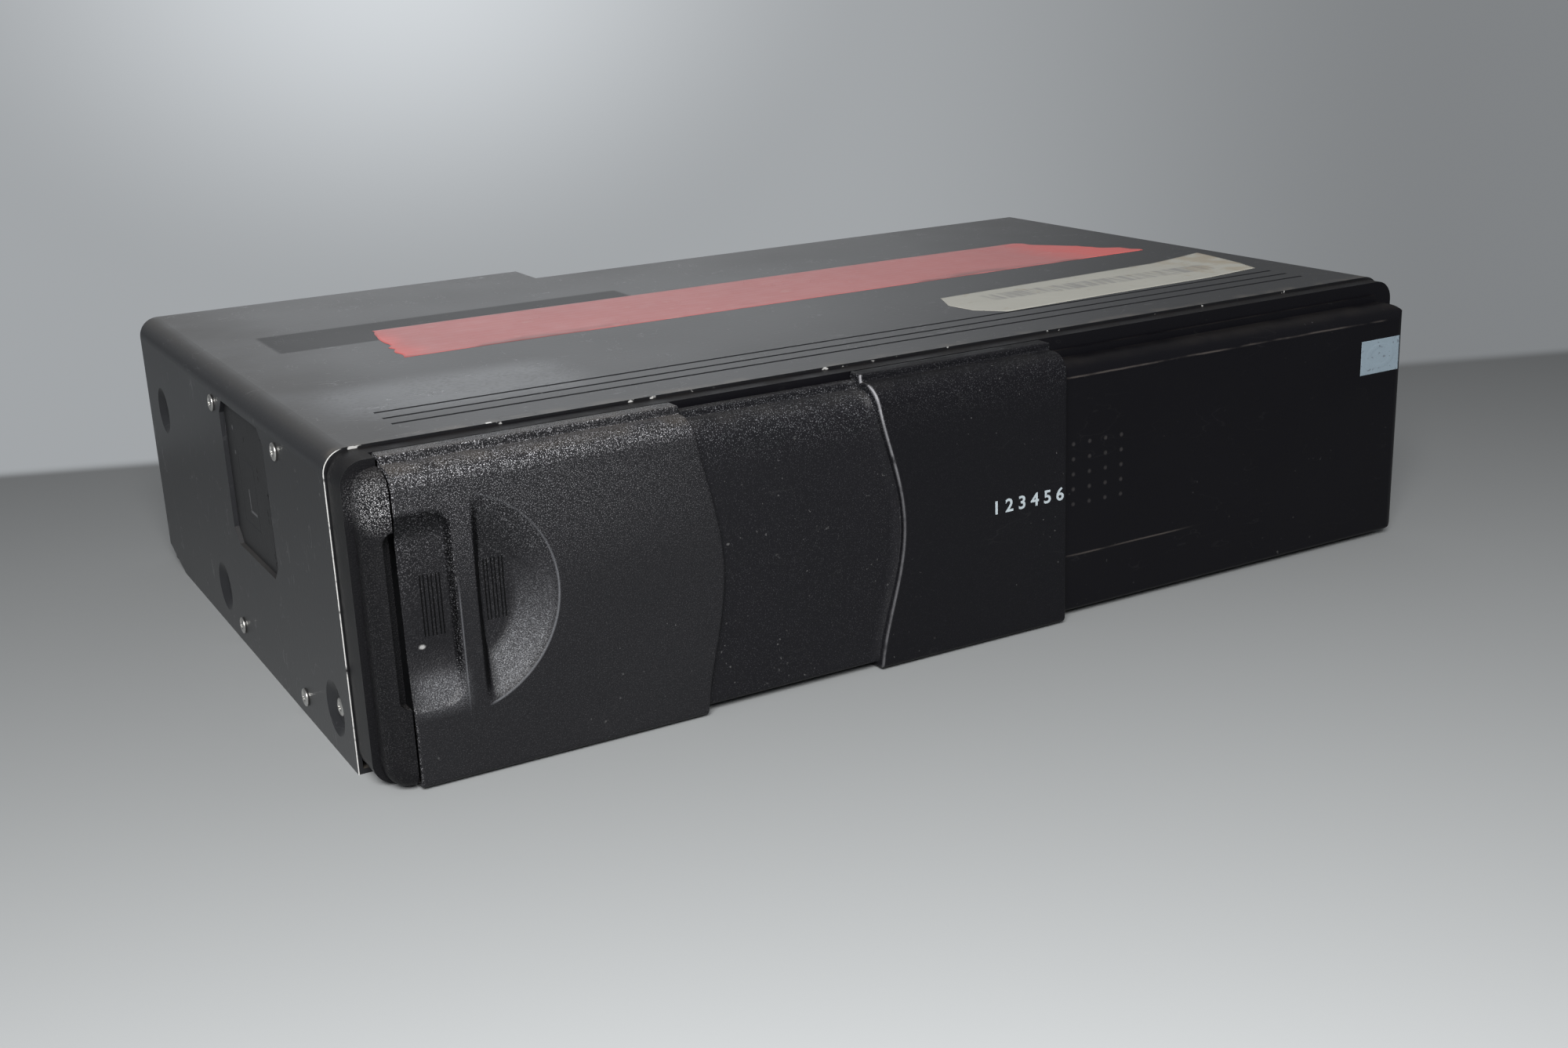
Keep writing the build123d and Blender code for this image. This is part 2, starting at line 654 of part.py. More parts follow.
with BuildPart() as mech_frame:
    with BuildSketch(Plane.XY.offset(bay_floor - frame_sheet)):
        with Locations((bay_left, frame_front)):
            Rectangle(
                bay_right - bay_left,
                frame_back + frame_sheet - frame_front,
                align=(Align.MIN, Align.MIN),
            )
        with Locations((bay_left, front)):
            Rectangle(magazine_right - bay_left, bay_back - front, align=(Align.MIN, Align.MIN))
        with Locations((tongue_left, frame_front)):
            Rectangle(tongue_right - tongue_left, tongue_back - frame_front, align=(Align.MIN, Align.MIN))
    extrude(amount=frame_sheet)
    with BuildSketch(Plane.XY.offset(bay_floor - frame_sheet)):
        with Locations((bay_left, front)):
            Rectangle(frame_sheet, bay_back - front, align=(Align.MIN, Align.MIN))
    extrude(amount=magazine_roof - bay_floor)
    # Low lip that guides the magazine on its right.
    with BuildSketch(Plane.XY.offset(bay_floor)):
        with Locations((magazine_right + slide_gap, guide_lip_front)):
            Rectangle(frame_sheet, frame_back - guide_lip_front, align=(Align.MIN, Align.MIN))
    extrude(amount=guide_lip)
    # Guide walls of the deck, with upright slots for its pins and holes for the lift shaft.
    for wall_y in (frame_front, frame_back):
        with BuildSketch(Plane.XZ.offset(-wall_y)):
            with Locations((lift_wall_left, wall_floor)):
                Rectangle(frame_right - lift_wall_left, wall_roof - wall_floor, align=(Align.MIN, Align.MIN))
            with Locations(*[(x, pin_level + deck_lift / 2) for x in pin_places]):
                SlotCenterToCenter(deck_lift + 1.0, 2 * (pin_radius + screw_gap), rotation=90, mode=Mode.SUBTRACT)
            with Locations((shaft_x, shaft_level)):
                Circle(shaft_radius + pin_gap, mode=Mode.SUBTRACT)
        extrude(amount=-frame_sheet)
    with BuildSketch(Plane.XZ.offset(-frame_front)):
        with Locations(*guide_pins):
            Circle(guide_pin_radius)
    extrude(amount=cam_sheet + 2 * slide_gap)
    with BuildSketch(Plane.XZ.offset(-frame_back - frame_sheet)):
        with Locations(*guide_pins):
            Circle(guide_pin_radius)
    extrude(amount=-cam_sheet - 2 * slide_gap)
    # Right wall and the strip that stands on the dampers.
    with BuildSketch(Plane.XY.offset(wall_floor)):
        with Locations((frame_right, frame_front)):
            Rectangle(frame_sheet, frame_back + frame_sheet - frame_front, align=(Align.MAX, Align.MIN))
    extrude(amount=wall_roof - wall_floor)
    with BuildSketch(Plane.XY.offset(wall_floor)):
        with Locations((frame_right, frame_front)):
            Rectangle(side_strip, frame_back + frame_sheet - frame_front, align=(Align.MAX, Align.MIN))
    extrude(amount=frame_sheet)
mech_frame.part.label = "mech_frame"
export_step(mech_frame.part, "parts/mech_frame.step")

# ------------------------------------------------------------------ rubber dampers
damper_inset = 6.0            # from the magazine's sides
back_damper_inset = 11.0
damper_behind = 10.0
damper_before = 4.0           # from the magazine's back
low_damper_behind = 13.0      # from the deck's front
low_damper_before = 12.4
tall_damper_places = (
    (magazine_left + damper_inset, front + damper_behind),
    (magazine_right - damper_inset, front + damper_behind),
    (magazine_left + back_damper_inset, magazine_back - damper_before),
    (magazine_right - back_damper_inset, magazine_back - damper_before),
)
low_damper_places = (
    (frame_right - side_strip / 2, deck_front + low_damper_behind),
    (frame_right - side_strip / 2, deck_back - low_damper_before),
)
tall_damper_radius = 4.5
low_damper_radius = 5.0
damper_waist = 1.0

with BuildPart() as rubber_dampers:
    for places, radius, top in (
        (tall_damper_places, tall_damper_radius, bay_floor - frame_sheet),
        (low_damper_places, low_damper_radius, wall_floor),
    ):
        rim = (top - sheet) / 3
        for floor, height, inset in ((sheet, rim, 0), (sheet + rim, rim, damper_waist), (sheet + 2 * rim, rim, 0)):
            with BuildSketch(Plane.XY.offset(floor)):
                with Locations(*places):
                    Circle(radius - inset)
            extrude(amount=height)
rubber_dampers.part.label = "rubber_dampers"
export_step(rubber_dampers.part, "parts/rubber_dampers.step")

# ------------------------------------------------------------------ suspension springs
spring_radius = 2.4
spring_bore = 1.8
spring_level = 25.0
spring_behind = 17.0          # from the deck's front
spring_before = 14.4

with BuildPart() as suspension_springs:
    for spring_y in (deck_front + spring_behind, deck_back - spring_before):
        with BuildSketch(Plane.YZ.offset(left + sheet)):
            with Locations((spring_y, spring_level)):
                Circle(spring_radius)
                Circle(spring_bore, mode=Mode.SUBTRACT)
        extrude(amount=bay_left - left - sheet)
        with BuildSketch(Plane.YZ.offset(frame_right)):
            with Locations((spring_y, spring_level)):
                Circle(spring_radius)
                Circle(spring_bore, mode=Mode.SUBTRACT)
        extrude(amount=right - sheet - frame_right)
suspension_springs.part.label = "suspension_springs"
export_step(suspension_springs.part, "parts/suspension_springs.step")

# ------------------------------------------------------------------ main board
chip_places = ((24.0, 26.0, 18.0, 18.0, 1.8), (60.0, 30.0, 14.0, 10.0, 1.6), (88.0, 60.0, 20.0, 8.0, 2.0),
               (30.0, 70.0, 10.0, 10.0, 1.4), (64.0, 78.0, 24.0, 12.0, 2.2))
socket_length = 10.0
socket_wall = 1.6
contact_radius = 0.5
contact_circle = 4.2
contact_count = 8

with BuildPart() as main_board:
    with BuildSketch(Plane.XY.offset(board_floor)):
        with Locations(board_middle):
            Rectangle(*board_size)
            with GridLocations(*standoff_spacing, 2, 2):
                Circle(screw_radius + screw_gap, mode=Mode.SUBTRACT)
    extrude(amount=board_sheet)
main_board.part.label = "main_board"
export_step(main_board.part, "parts/main_board.step")

with BuildPart() as board_chips:
    for x, y, length, width, height in chip_places:
        with BuildSketch(Plane.XY.offset(board_roof)):
            with Locations((board_left + x, board_front + y)):
                Rectangle(length, width)
        extrude(amount=height)
board_chips.part.label = "board_chips"
export_step(board_chips.part, "parts/board_chips.step")

with BuildPart() as board_screws:
    with BuildSketch(Plane.XY.offset(board_roof)):
        with Locations(board_middle):
            with GridLocations(*standoff_spacing, 2, 2):
                Circle(head_radius)
    extrude(amount=head_height)
    with BuildSketch(Plane.XY.offset(board_roof)):
        with Locations(board_middle):
            with GridLocations(*standoff_spacing, 2, 2):
                Circle(screw_radius)
    extrude(amount=-board_sheet - standoff_height)
board_screws.part.label = "board_screws"
export_step(board_screws.part, "parts/board_screws.step")

with BuildPart() as rear_connector:
    with BuildSketch(Plane.XZ.offset(-step_rear)):
        with Locations((socket_x, socket_z)):
            Circle(socket_radius)
    extrude(amount=socket_length)
    with BuildSketch(Plane.XZ.offset(-step_rear)):
        with Locations((socket_x, socket_z)):
            Circle(socket_radius - socket_wall)
    extrude(amount=socket_length - socket_wall, mode=Mode.SUBTRACT)
    with BuildSketch(Plane.XZ.offset(-step_rear + sheet)):
        with Locations((socket_x, socket_z)):
            Circle(socket_radius + 2.0)
            Circle(socket_radius, mode=Mode.SUBTRACT)
    extrude(amount=sheet)
rear_connector.part.label = "rear_connector"
export_step(rear_connector.part, "parts/rear_connector.step")

with BuildPart() as connector_contacts:
    with BuildSketch(Plane.XZ.offset(-step_rear + socket_length - socket_wall)):
        with Locations((socket_x, socket_z)):
            with PolarLocations(contact_circle, contact_count):
                Circle(contact_radius)
    extrude(amount=-socket_length + 3 * socket_wall)
connector_contacts.part.label = "connector_contacts"
export_step(connector_contacts.part, "parts/connector_contacts.step")

# ------------------------------------------------------------------ magazine
notch_front = front + 15.5
notch_back = front + 25.0
notch_depth = 2.0
notch_height = 3.0
tray_gap = 0.4
tray_left = magazine_left + magazine_wall + tray_gap
tray_right = magazine_right - 0.6
tray_front = magazine_front + magazine_wall + tray_gap
tray_back = magazine_back - magazine_wall - tray_gap
tray_disc = (tray_left + disc_diameter / 2 + 1.0, spindle_y)
rib_reach = 3.0


def magazine_half(name, floor, roof, trays):
    """Half of the magazine's shell, open to the right, with a rib under each of its trays."""
    is_lower = floor == magazine_floor
    inner_floor = floor + magazine_wall if is_lower else floor
    inner_roof = roof if is_lower else roof - magazine_wall
    inner_depth = magazine_depth - 2 * magazine_wall
    with BuildPart() as half:
        with BuildSketch(Plane.XY.offset(floor)):
            with Locations((magazine_left, magazine_front)):
                Rectangle(magazine_width, magazine_depth, align=(Align.MIN, Align.MIN))
        extrude(amount=roof - floor)
        with BuildSketch(Plane.XY.offset(inner_floor)):
            with Locations((magazine_left + magazine_wall, magazine_front + magazine_wall)):
                Rectangle(magazine_width, inner_depth, align=(Align.MIN, Align.MIN))
        extrude(amount=inner_roof - inner_floor, mode=Mode.SUBTRACT)
        for tray in trays:
            rib_roof = first_tray + tray * tray_pitch
            rib_floor = max(rib_roof - tray_rib, floor)
            with BuildSketch(Plane.XY.offset(rib_floor)):
                with Locations((magazine_left, magazine_front)):
                    Rectangle(magazine_width - 2.0, magazine_depth, align=(Align.MIN, Align.MIN))
                rib_inset = magazine_wall + rib_reach
                with Locations((magazine_left + rib_inset, magazine_front + rib_inset)):
                    Rectangle(
                        magazine_width,
                        inner_depth - 2 * rib_reach,
                        align=(Align.MIN, Align.MIN),
                        mode=Mode.SUBTRACT,
                    )
            extrude(amount=rib_roof - rib_floor)
        if is_lower:
            # Notch for the latch lever's hook.
            with BuildSketch(Plane.XY.offset(floor)):
                with Locations((magazine_right - notch_depth, notch_front)):
                    Rectangle(notch_depth, notch_back - notch_front, align=(Align.MIN, Align.MIN))
            extrude(amount=notch_height, mode=Mode.SUBTRACT)
    half.part.label = name
    export_step(half.part, f"parts/{name}.step")
    return half.part


magazine_lower = magazine_half("magazine_lower", magazine_floor, magazine_split, range(tray_count // 2))
magazine_upper = magazine_half("magazine_upper", magazine_split, magazine_roof, range(tray_count // 2, tray_count))

# ------------------------------------------------------------------ trays
seat_radius = disc_diameter / 2 + 0.5
tray_bore = 19.0
tray_slot = 34.0

for tray in range(tray_count):
    tray_floor = first_tray + tray * tray_pitch
    with BuildPart() as tray_part:
        with BuildSketch(Plane.XY.offset(tray_floor)):
            with Locations((tray_left, tray_front)):
                Rectangle(tray_right - tray_left, tray_back - tray_front, align=(Align.MIN, Align.MIN))
        extrude(amount=tray_thickness)
        with BuildSketch(Plane.XY.offset(tray_floor + tray_thickness - disc_seat)):
            with Locations(tray_disc):
                Circle(seat_radius)
        extrude(amount=disc_seat, mode=Mode.SUBTRACT)
        # Opening for the turntable and the pickup, open to the right.
        with BuildSketch(Plane.XY.offset(tray_floor)):
            with Locations(tray_disc):
                Circle(tray_bore)
                Rectangle(magazine_width, tray_slot, align=(Align.MIN, Align.CENTER))
        extrude(amount=tray_thickness, mode=Mode.SUBTRACT)
    tray_part.part.label = f"tray_{tray + 1}"
    export_step(tray_part.part, f"parts/tray_{tray + 1}.step")

# ------------------------------------------------------------------ eject button and latch
button_travel = 2.0
button_recess = 0.2           # behind the fixed face
button_face = face + fixed_inset + button_recess
button_middle = button_left + (button_width + slide_gap) / 2
stem_width = 2.0
stem_floor = magazine_floor + 0.2
stem_height = 2.0
stem_back = front + 8.0
stem_tip = 1.0
lever_half_width = 1.9
lever_height = 2.2
lever_reach = 6.6
hook_floor = bay_floor + slide_gap
hook_front = front + 16.5
hook_back = front + 19.5
hook_tip = magazine_right - 1.2

with BuildPart() as eject_button:
    with BuildSketch(Plane.XZ.offset(-button_face)):
        with Locations((button_middle, button_floor + button_height / 2)):
            Rectangle(button_width - slide_gap, button_height - 2 * slide_gap)
    extrude(amount=-4.0)
    with BuildSketch(Plane.XZ.offset(-button_face - 4.0)):
        with Locations((button_middle, stem_floor)):
            Rectangle(stem_width, button_floor + button_height - slide_gap - stem_floor, align=(Align.CENTER, Align.MIN))
    extrude(amount=-2.0)
    with BuildSketch(Plane.XY.offset(stem_floor)):
        with Locations((button_middle, button_face + 4.0)):
            Rectangle(stem_width, stem_back - 2.0 - button_face - 4.0, align=(Align.CENTER, Align.MIN))
        with Locations((button_middle - stem_width / 2, button_face + 4.0)):
            Rectangle(stem_tip, stem_back - button_face - 4.0, align=(Align.MIN, Align.MIN))
    extrude(amount=stem_height)
eject_button.part.label = "eject_button"
export_step(eject_button.part, "parts/eject_button.step")

with BuildPart() as latch_lever:
    with BuildSketch(Plane.XY.offset(hook_floor)):
        with Locations((lever_x, lever_y)):
            Circle(lever_half_width)
            Rectangle(lever_reach, 2 * lever_half_width, align=(Align.MAX, Align.CENTER))
            Rectangle(lever_half_width, hook_back - lever_y, align=(Align.MAX, Align.MIN))
        with Locations((lever_x, hook_front)):
            Rectangle(lever_x - hook_tip, hook_back - hook_front, align=(Align.MAX, Align.MIN))
        with Locations((lever_x, lever_y)):
            Circle(lever_pin_radius + pin_gap, mode=Mode.SUBTRACT)
    extrude(amount=lever_height)
latch_lever.part.label = "latch_lever"
export_step(latch_lever.part, "parts/latch_lever.step")

with BuildPart() as latch_pin:
    with BuildSketch(Plane.XY.offset(bay_floor)):
        with Locations((lever_x, lever_y)):
            Circle(lever_pin_radius)
    extrude(amount=slide_gap + lever_height + slide_gap)
    with BuildSketch(Plane.XY.offset(hook_floor + lever_height + slide_gap)):
        with Locations((lever_x, lever_y)):
            Circle(lever_half_width)
    extrude(amount=0.6)
latch_pin.part.label = "latch_pin"
export_step(latch_pin.part, "parts/latch_pin.step")

# ------------------------------------------------------------------ ejector behind the magazine
ejector_inset = 21.0          # from the magazine's left side
ejector_width = 60.0
ejector_left = magazine_left + ejector_inset
ejector_right = ejector_left + ejector_width
ejector_sheet = 2.0
ejector_roof = 36.0
ejector_foot = 10.0
ejector_foot_sheet = 1.6
ejector_spring_radius = 3.4
ejector_spring_bore = 2.7
ejector_spring_inset = 12.0
ejector_spring_level = 24.0
ejector_spring_places = (
    (ejector_left + ejector_spring_inset, ejector_spring_level),
    (ejector_right - ejector_spring_inset, ejector_spring_level),
)

with BuildPart() as ejector_slide:
    with BuildSketch(Plane.XZ.offset(-magazine_back)):
        with Locations((ejector_left, bay_floor + slide_gap)):
            Rectangle(ejector_right - ejector_left, ejector_roof - bay_floor - slide_gap, align=(Align.MIN, Align.MIN))
    extrude(amount=-ejector_sheet)
    with BuildSketch(Plane.XY.offset(bay_floor + slide_gap)):
        with Locations((ejector_left, magazine_back)):
            Rectangle(ejector_right - ejector_left, ejector_foot, align=(Align.MIN, Align.MIN))
    extrude(amount=ejector_foot_sheet)
ejector_slide.part.label = "ejector_slide"
export_step(ejector_slide.part, "parts/ejector_slide.step")

with BuildPart() as ejector_springs:
    with BuildSketch(Plane.XZ.offset(-rear + sheet)):
        with Locations(*ejector_spring_places):
            Circle(ejector_spring_radius)
            Circle(ejector_spring_bore, mode=Mode.SUBTRACT)
    extrude(amount=rear - sheet - magazine_back - ejector_sheet - slide_gap)
ejector_springs.part.label = "ejector_springs"
export_step(ejector_springs.part, "parts/ejector_springs.step")

# ------------------------------------------------------------------ lift cams, shaft and motor
gear_module = 0.75
pinion_teeth = 12
pressure_angle = 20.0
tooth_play = 0.12
pinion_radius = gear_module * pinion_teeth / 2
addendum = 0.8 * gear_module
dedendum = 1.1 * gear_module
pitch_level = shaft_level - pinion_radius
rack_root = pitch_level - dedendum
cam_reach = 25.5              # from the deck's middle to the left
cam_beyond = 1.5              # past the deck's right side
cam_slope = 20.0
cam_left = deck_middle - cam_reach
cam_right = deck_right + cam_beyond
cam_floor = wall_floor + 0.6
shaft_reach = 1.6
motor_radius = 5.2
motor_length = 8.6


def pinion_outline():
    """Face of a spur pinion with involute flanks, a gap between teeth facing down."""
    slant = math.radians(pressure_angle)
    base_radius = pinion_radius * math.cos(slant)
    tip_radius = pinion_radius + addendum
    half_tooth = (math.pi * gear_module / 2 - tooth_play) / (2 * pinion_radius)
    involute = math.tan(slant) - slant
    flank = [((pinion_radius - dedendum) * 0.9, half_tooth + involute)]
    for step in range(5):
        radius = base_radius + (tip_radius - base_radius) * step / 4
        roll = math.acos(base_radius / radius)
        flank.append((radius, half_tooth + involute - (math.tan(roll) - roll)))
    upper = [(radius * math.cos(angle), radius * math.sin(angle)) for radius, angle in flank]
    lower = [(x, -y) for x, y in reversed(upper)]
    Circle(pinion_radius - dedendum)
    with PolarLocations(0, pinion_teeth, start_angle=180 / pinion_teeth):
        Polygon(*upper, *lower, align=None)


def rack_tooth_points():
    """Corners of one rack tooth, centred on its own place at the pitch line."""
    slope = math.tan(math.radians(pressure_angle))
    half = (math.pi * gear_module / 2 - tooth_play) / 2
    foot = half + (dedendum + 0.2) * slope
    tip = half - addendum * slope
    return [(-foot, -dedendum - 0.2), (foot, -dedendum - 0.2), (tip, addendum), (-tip, addendum)]


def lift_cam(name, inner_y):
    """Sliding plate with inclined slots for the deck's pins and a rack along its top."""
    rack_pitch = math.pi * gear_module
    rack_count = int(cam_travel / rack_pitch) + 5
    with BuildPart() as cam:
        with BuildSketch(Plane.XZ.offset(-inner_y)):
            with BuildLine():
                Polyline(
                    (cam_left, cam_floor),
                    (cam_left, rack_root - cam_slope),
                    (cam_left + cam_slope, rack_root),
                    (cam_right, rack_root),
                    (cam_right, cam_floor),
                    close=True,
                )
            make_face()
            for tooth in range(rack_count):
                with Locations((shaft_x + (tooth - 2) * rack_pitch, pitch_level)):
                    Polygon(*rack_tooth_points(), align=None)
            for x in pin_places:
                slot_angle = math.degrees(math.atan2(deck_lift, cam_travel))
                with Locations((x + cam_travel / 2, pin_level + deck_lift / 2)):
                    SlotCenterToCenter(
                        math.hypot(deck_lift, cam_travel) + 0.4,
                        2 * (pin_radius + screw_gap),
                        rotation=slot_angle,
                        mode=Mode.SUBTRACT,
                    )
            for x, z in guide_pins:
                with Locations((x + cam_travel / 2, z)):
                    SlotCenterToCenter(cam_travel + 0.6, 2 * (guide_pin_radius + screw_gap), mode=Mode.SUBTRACT)
        extrude(amount=-cam_sheet)
    cam.part.label = name
    export_step(cam.part, f"parts/{name}.step")
    return cam.part


lift_cam_front = lift_cam("lift_cam_front", cam_front_y)
lift_cam_back = lift_cam("lift_cam_back", cam_back_y)

with BuildPart() as lift_shaft:
    with BuildSketch(Plane.XZ.offset(-cam_front_y)):
        with Locations((shaft_x, shaft_level)):
            Circle(shaft_radius)
    extrude(amount=-(cam_back_y + cam_sheet + shaft_reach - cam_front_y))
lift_shaft.part.label = "lift_shaft"
export_step(lift_shaft.part, "parts/lift_shaft.step")

with BuildPart() as lift_pinions:
    for pinion_y in (cam_front_y, cam_back_y):
        with BuildSketch(Plane.XZ.offset(-pinion_y)):
            with Locations((shaft_x, shaft_level)):
                pinion_outline()
                Circle(shaft_radius, mode=Mode.SUBTRACT)
        extrude(amount=-cam_sheet)
lift_pinions.part.label = "lift_pinions"
export_step(lift_pinions.part, "parts/lift_pinions.step")

with BuildPart() as lift_motor:
    with BuildSketch(Plane.XZ.offset(-step_rear + sheet)):
        with Locations((shaft_x, shaft_level)):
            Circle(motor_radius)
    extrude(amount=motor_length)
    with BuildSketch(Plane.XZ.offset(-step_rear + sheet + motor_length)):
        with Locations((shaft_x, shaft_level)):
            Circle(shaft_radius + pin_gap)
    extrude(amount=-motor_length + sheet, mode=Mode.SUBTRACT)
lift_motor.part.label = "lift_motor"
export_step(lift_motor.part, "parts/lift_motor.step")

# ------------------------------------------------------------------ playing deck
sled_travel = 31.0
lens_start = spindle_y + 24.5
lens_end = lens_start + sled_travel
sled_front_reach = 8.6
sled_back_reach = 3.4
sled_left = spindle_x - 19.0
sled_right = spindle_x + 18.0
window_front = spindle_y + 15.0
window_back = deck_back - 2 * deck_sheet
rod_radius = 1.25
rod_x = spindle_x + 14.5
screw_x = spindle_x - 16.4
rod_level = deck_top + 1.8
screw_shaft_radius = 1.2
sled_motor_radius = 3.4
sled_motor_length = 16.0
sled_floor = deck_top + slide_gap
sled_roof = disc_level - 1.3
spindle_motor_radius = 11.0
spindle_motor_height = 4.1
spindle_radius = 1.0
turntable_radius = 12.5
turntable_sheet = 1.7
hub_radius = 7.3
hub_height = 1.5
deck_flange_height = 5.6
post_floor = deck_floor
hinge_y = deck_back - 4.6
hinge_level = disc_level + disc_thickness + 3.4
hinge_pin_radius = 1.0
post_inset_left = 2.0
post_inset_right = 6.3
post_left = deck_left + post_inset_left
post_right = deck_right - post_inset_right
post_width = 3.3
post_depth = 4.6
arm_sheet = 1.0
puck_radius = 13.0
puck_neck = 8.0
puck_cap = 10.0
puck_floor = disc_level + disc_thickness + 1.1
deck_pin_reach = frame_sheet + slide_gap + cam_sheet + 0.2

with BuildPart() as deck_plate:
    with BuildSketch(Plane.XY.offset(deck_floor)):
        with Locations((deck_left, deck_front)):
            Rectangle(deck_right - deck_left, deck_width, align=(Align.MIN, Align.MIN))
        with Locations((spindle_x, spindle_y)):
            Circle(spindle_radius + 1.0, mode=Mode.SUBTRACT)
        with Locations((sled_left - 1.0, window_front)):
            Rectangle(
                sled_right - sled_left + 2.0,
                window_back - window_front,
                align=(Align.MIN, Align.MIN),
                mode=Mode.SUBTRACT,
            )
    extrude(amount=deck_sheet)
    for flange_y in (deck_front, deck_back - deck_sheet):
        with BuildSketch(Plane.XZ.offset(-flange_y)):
            with Locations((deck_left + 10.0, deck_floor)):
                Rectangle(deck_right - deck_left - 20.0, deck_flange_height, align=(Align.MIN, Align.MIN))
            with Locations(*[(x, pin_level) for x in pin_places]):
                Circle(pin_radius, mode=Mode.SUBTRACT)
        extrude(amount=-deck_sheet)
    # Posts for the clamp arm's hinge.
    for post_x in (post_left, post_right):
        with BuildSketch(Plane.YZ.offset(post_x)):
            with Locations((hinge_y, post_floor)):
                Rectangle(post_depth, hinge_level + 2.4 - post_floor, align=(Align.CENTER, Align.MIN))
            with Locations((hinge_y, hinge_level)):
                Circle(hinge_pin_radius + pin_gap, mode=Mode.SUBTRACT)
        extrude(amount=post_width)
    # Bearing blocks for the guide rod and the sled screw.
    for block_y in (window_front - 3.0, window_back):
        with BuildSketch(Plane.XZ.offset(-block_y)):
            with Locations((rod_x, deck_floor)):
                Rectangle(5.0, rod_level + 1.9 - deck_floor, align=(Align.CENTER, Align.MIN))
            with Locations((screw_x, deck_floor)):
                Rectangle(5.0, rod_level + 1.9 - deck_floor, align=(Align.CENTER, Align.MIN))
            with Locations((rod_x, rod_level)):
                Circle(rod_radius, mode=Mode.SUBTRACT)
            with Locations((screw_x, rod_level)):
                Circle(screw_shaft_radius + pin_gap, mode=Mode.SUBTRACT)
        extrude(amount=-(3.0 if block_y < window_back else deck_sheet))
deck_plate.part.label = "deck_plate"
export_step(deck_plate.part, "parts/deck_plate.step")

with BuildPart() as deck_pins:
    with BuildSketch(Plane.XZ.offset(-deck_front - deck_sheet)):
        with Locations(*[(x, pin_level) for x in pin_places]):
            Circle(pin_radius)
    extrude(amount=deck_sheet + slide_gap + deck_pin_reach)
    with BuildSketch(Plane.XZ.offset(-deck_back + deck_sheet)):
        with Locations(*[(x, pin_level) for x in pin_places]):
            Circle(pin_radius)
    extrude(amount=-(deck_sheet + slide_gap + deck_pin_reach))
deck_pins.part.label = "deck_pins"
export_step(deck_pins.part, "parts/deck_pins.step")

with BuildPart() as spindle_motor:
    with BuildSketch(Plane.XY.offset(deck_floor)):
        with Locations((spindle_x, spindle_y)):
            Circle(spindle_motor_radius)
    extrude(amount=-spindle_motor_height)
    with BuildSketch(Plane.XY.offset(deck_floor)):
        with Locations((spindle_x, spindle_y)):
            Circle(spindle_radius + pin_gap)
    extrude(amount=-spindle_motor_height + sheet, mode=Mode.SUBTRACT)
spindle_motor.part.label = "spindle_motor"
export_step(spindle_motor.part, "parts/spindle_motor.step")

with BuildPart() as turntable:
    with BuildSketch(Plane.XY.offset(disc_level - turntable_sheet)):
        with Locations((spindle_x, spindle_y)):
            Circle(turntable_radius)
    extrude(amount=turntable_sheet)
    with BuildSketch(Plane.XY.offset(disc_level)):
        with Locations((spindle_x, spindle_y)):
            Circle(hub_radius)
    extrude(amount=hub_height)
    fillet(turntable.edges().group_by(Axis.Z)[-1], 1.0)
    with BuildSketch(Plane.XY.offset(disc_level - turntable_sheet)):
        with Locations((spindle_x, spindle_y)):
            Circle(spindle_radius)
    extrude(amount=-(disc_level - turntable_sheet - deck_floor + spindle_motor_height - 2 * sheet))
turntable.part.label = "turntable"
export_step(turntable.part, "parts/turntable.step")

with BuildPart() as guide_rod:
    with BuildSketch(Plane.XZ.offset(-window_front + 3.0)):
        with Locations((rod_x, rod_level)):
            Circle(rod_radius)
    extrude(amount=-(window_back + deck_sheet - window_front + 3.0))
guide_rod.part.label = "guide_rod"
export_step(guide_rod.part, "parts/guide_rod.step")

with BuildPart() as sled_screw:
    with BuildSketch(Plane.XZ.offset(-window_front + 4.0)):
        with Locations((screw_x, rod_level)):
            Circle(screw_shaft_radius)
    extrude(amount=-(window_back + deck_sheet - window_front + 4.0))
sled_screw.part.label = "sled_screw"
export_step(sled_screw.part, "parts/sled_screw.step")

with BuildPart() as sled_motor:
    with BuildSketch(Plane.XZ.offset(-window_front + 3.0)):
        with Locations((screw_x, deck_top)):
            Rectangle(2 * sled_motor_radius, 2 * (rod_level - deck_top), align=(Align.CENTER, Align.MIN))
    extrude(amount=sled_motor_length)
    with BuildSketch(Plane.XZ.offset(-window_front + 3.0)):
        with Locations((screw_x, rod_level)):
            Circle(screw_shaft_radius + pin_gap)
    extrude(amount=2.0, mode=Mode.SUBTRACT)
sled_motor.part.label = "sled_motor"
export_step(sled_motor.part, "parts/sled_motor.step")

with BuildPart() as pickup_base:
    with BuildSketch(Plane.XY.offset(sled_floor)):
        with Locations((sled_left, lens_start - sled_front_reach)):
            Rectangle(sled_right - sled_left, sled_front_reach + sled_back_reach, align=(Align.MIN, Align.MIN))
    extrude(amount=sled_roof - sled_floor)
    with BuildSketch(Plane.XZ.offset(-lens_start + sled_front_reach)):
        with Locations((rod_x, rod_level)):
            Circle(rod_radius + pin_gap)
        with Locations((screw_x, rod_level)):
            Circle(screw_shaft_radius + pin_gap)
    extrude(amount=-(sled_front_reach + sled_back_reach), mode=Mode.SUBTRACT)
    # Body of the pickup, hanging through the deck's window.
    with BuildSketch(Plane.XY.offset(sled_floor)):
        with Locations((spindle_x, lens_start - sled_front_reach)):
            Rectangle(16.0, sled_front_reach + sled_back_reach, align=(Align.CENTER, Align.MIN))
    extrude(amount=-5.0)
    with BuildSketch(Plane.XY.offset(sled_roof)):
        with Locations((spindle_x, lens_start)):
            Circle(2.6)
    extrude(amount=-1.0, mode=Mode.SUBTRACT)
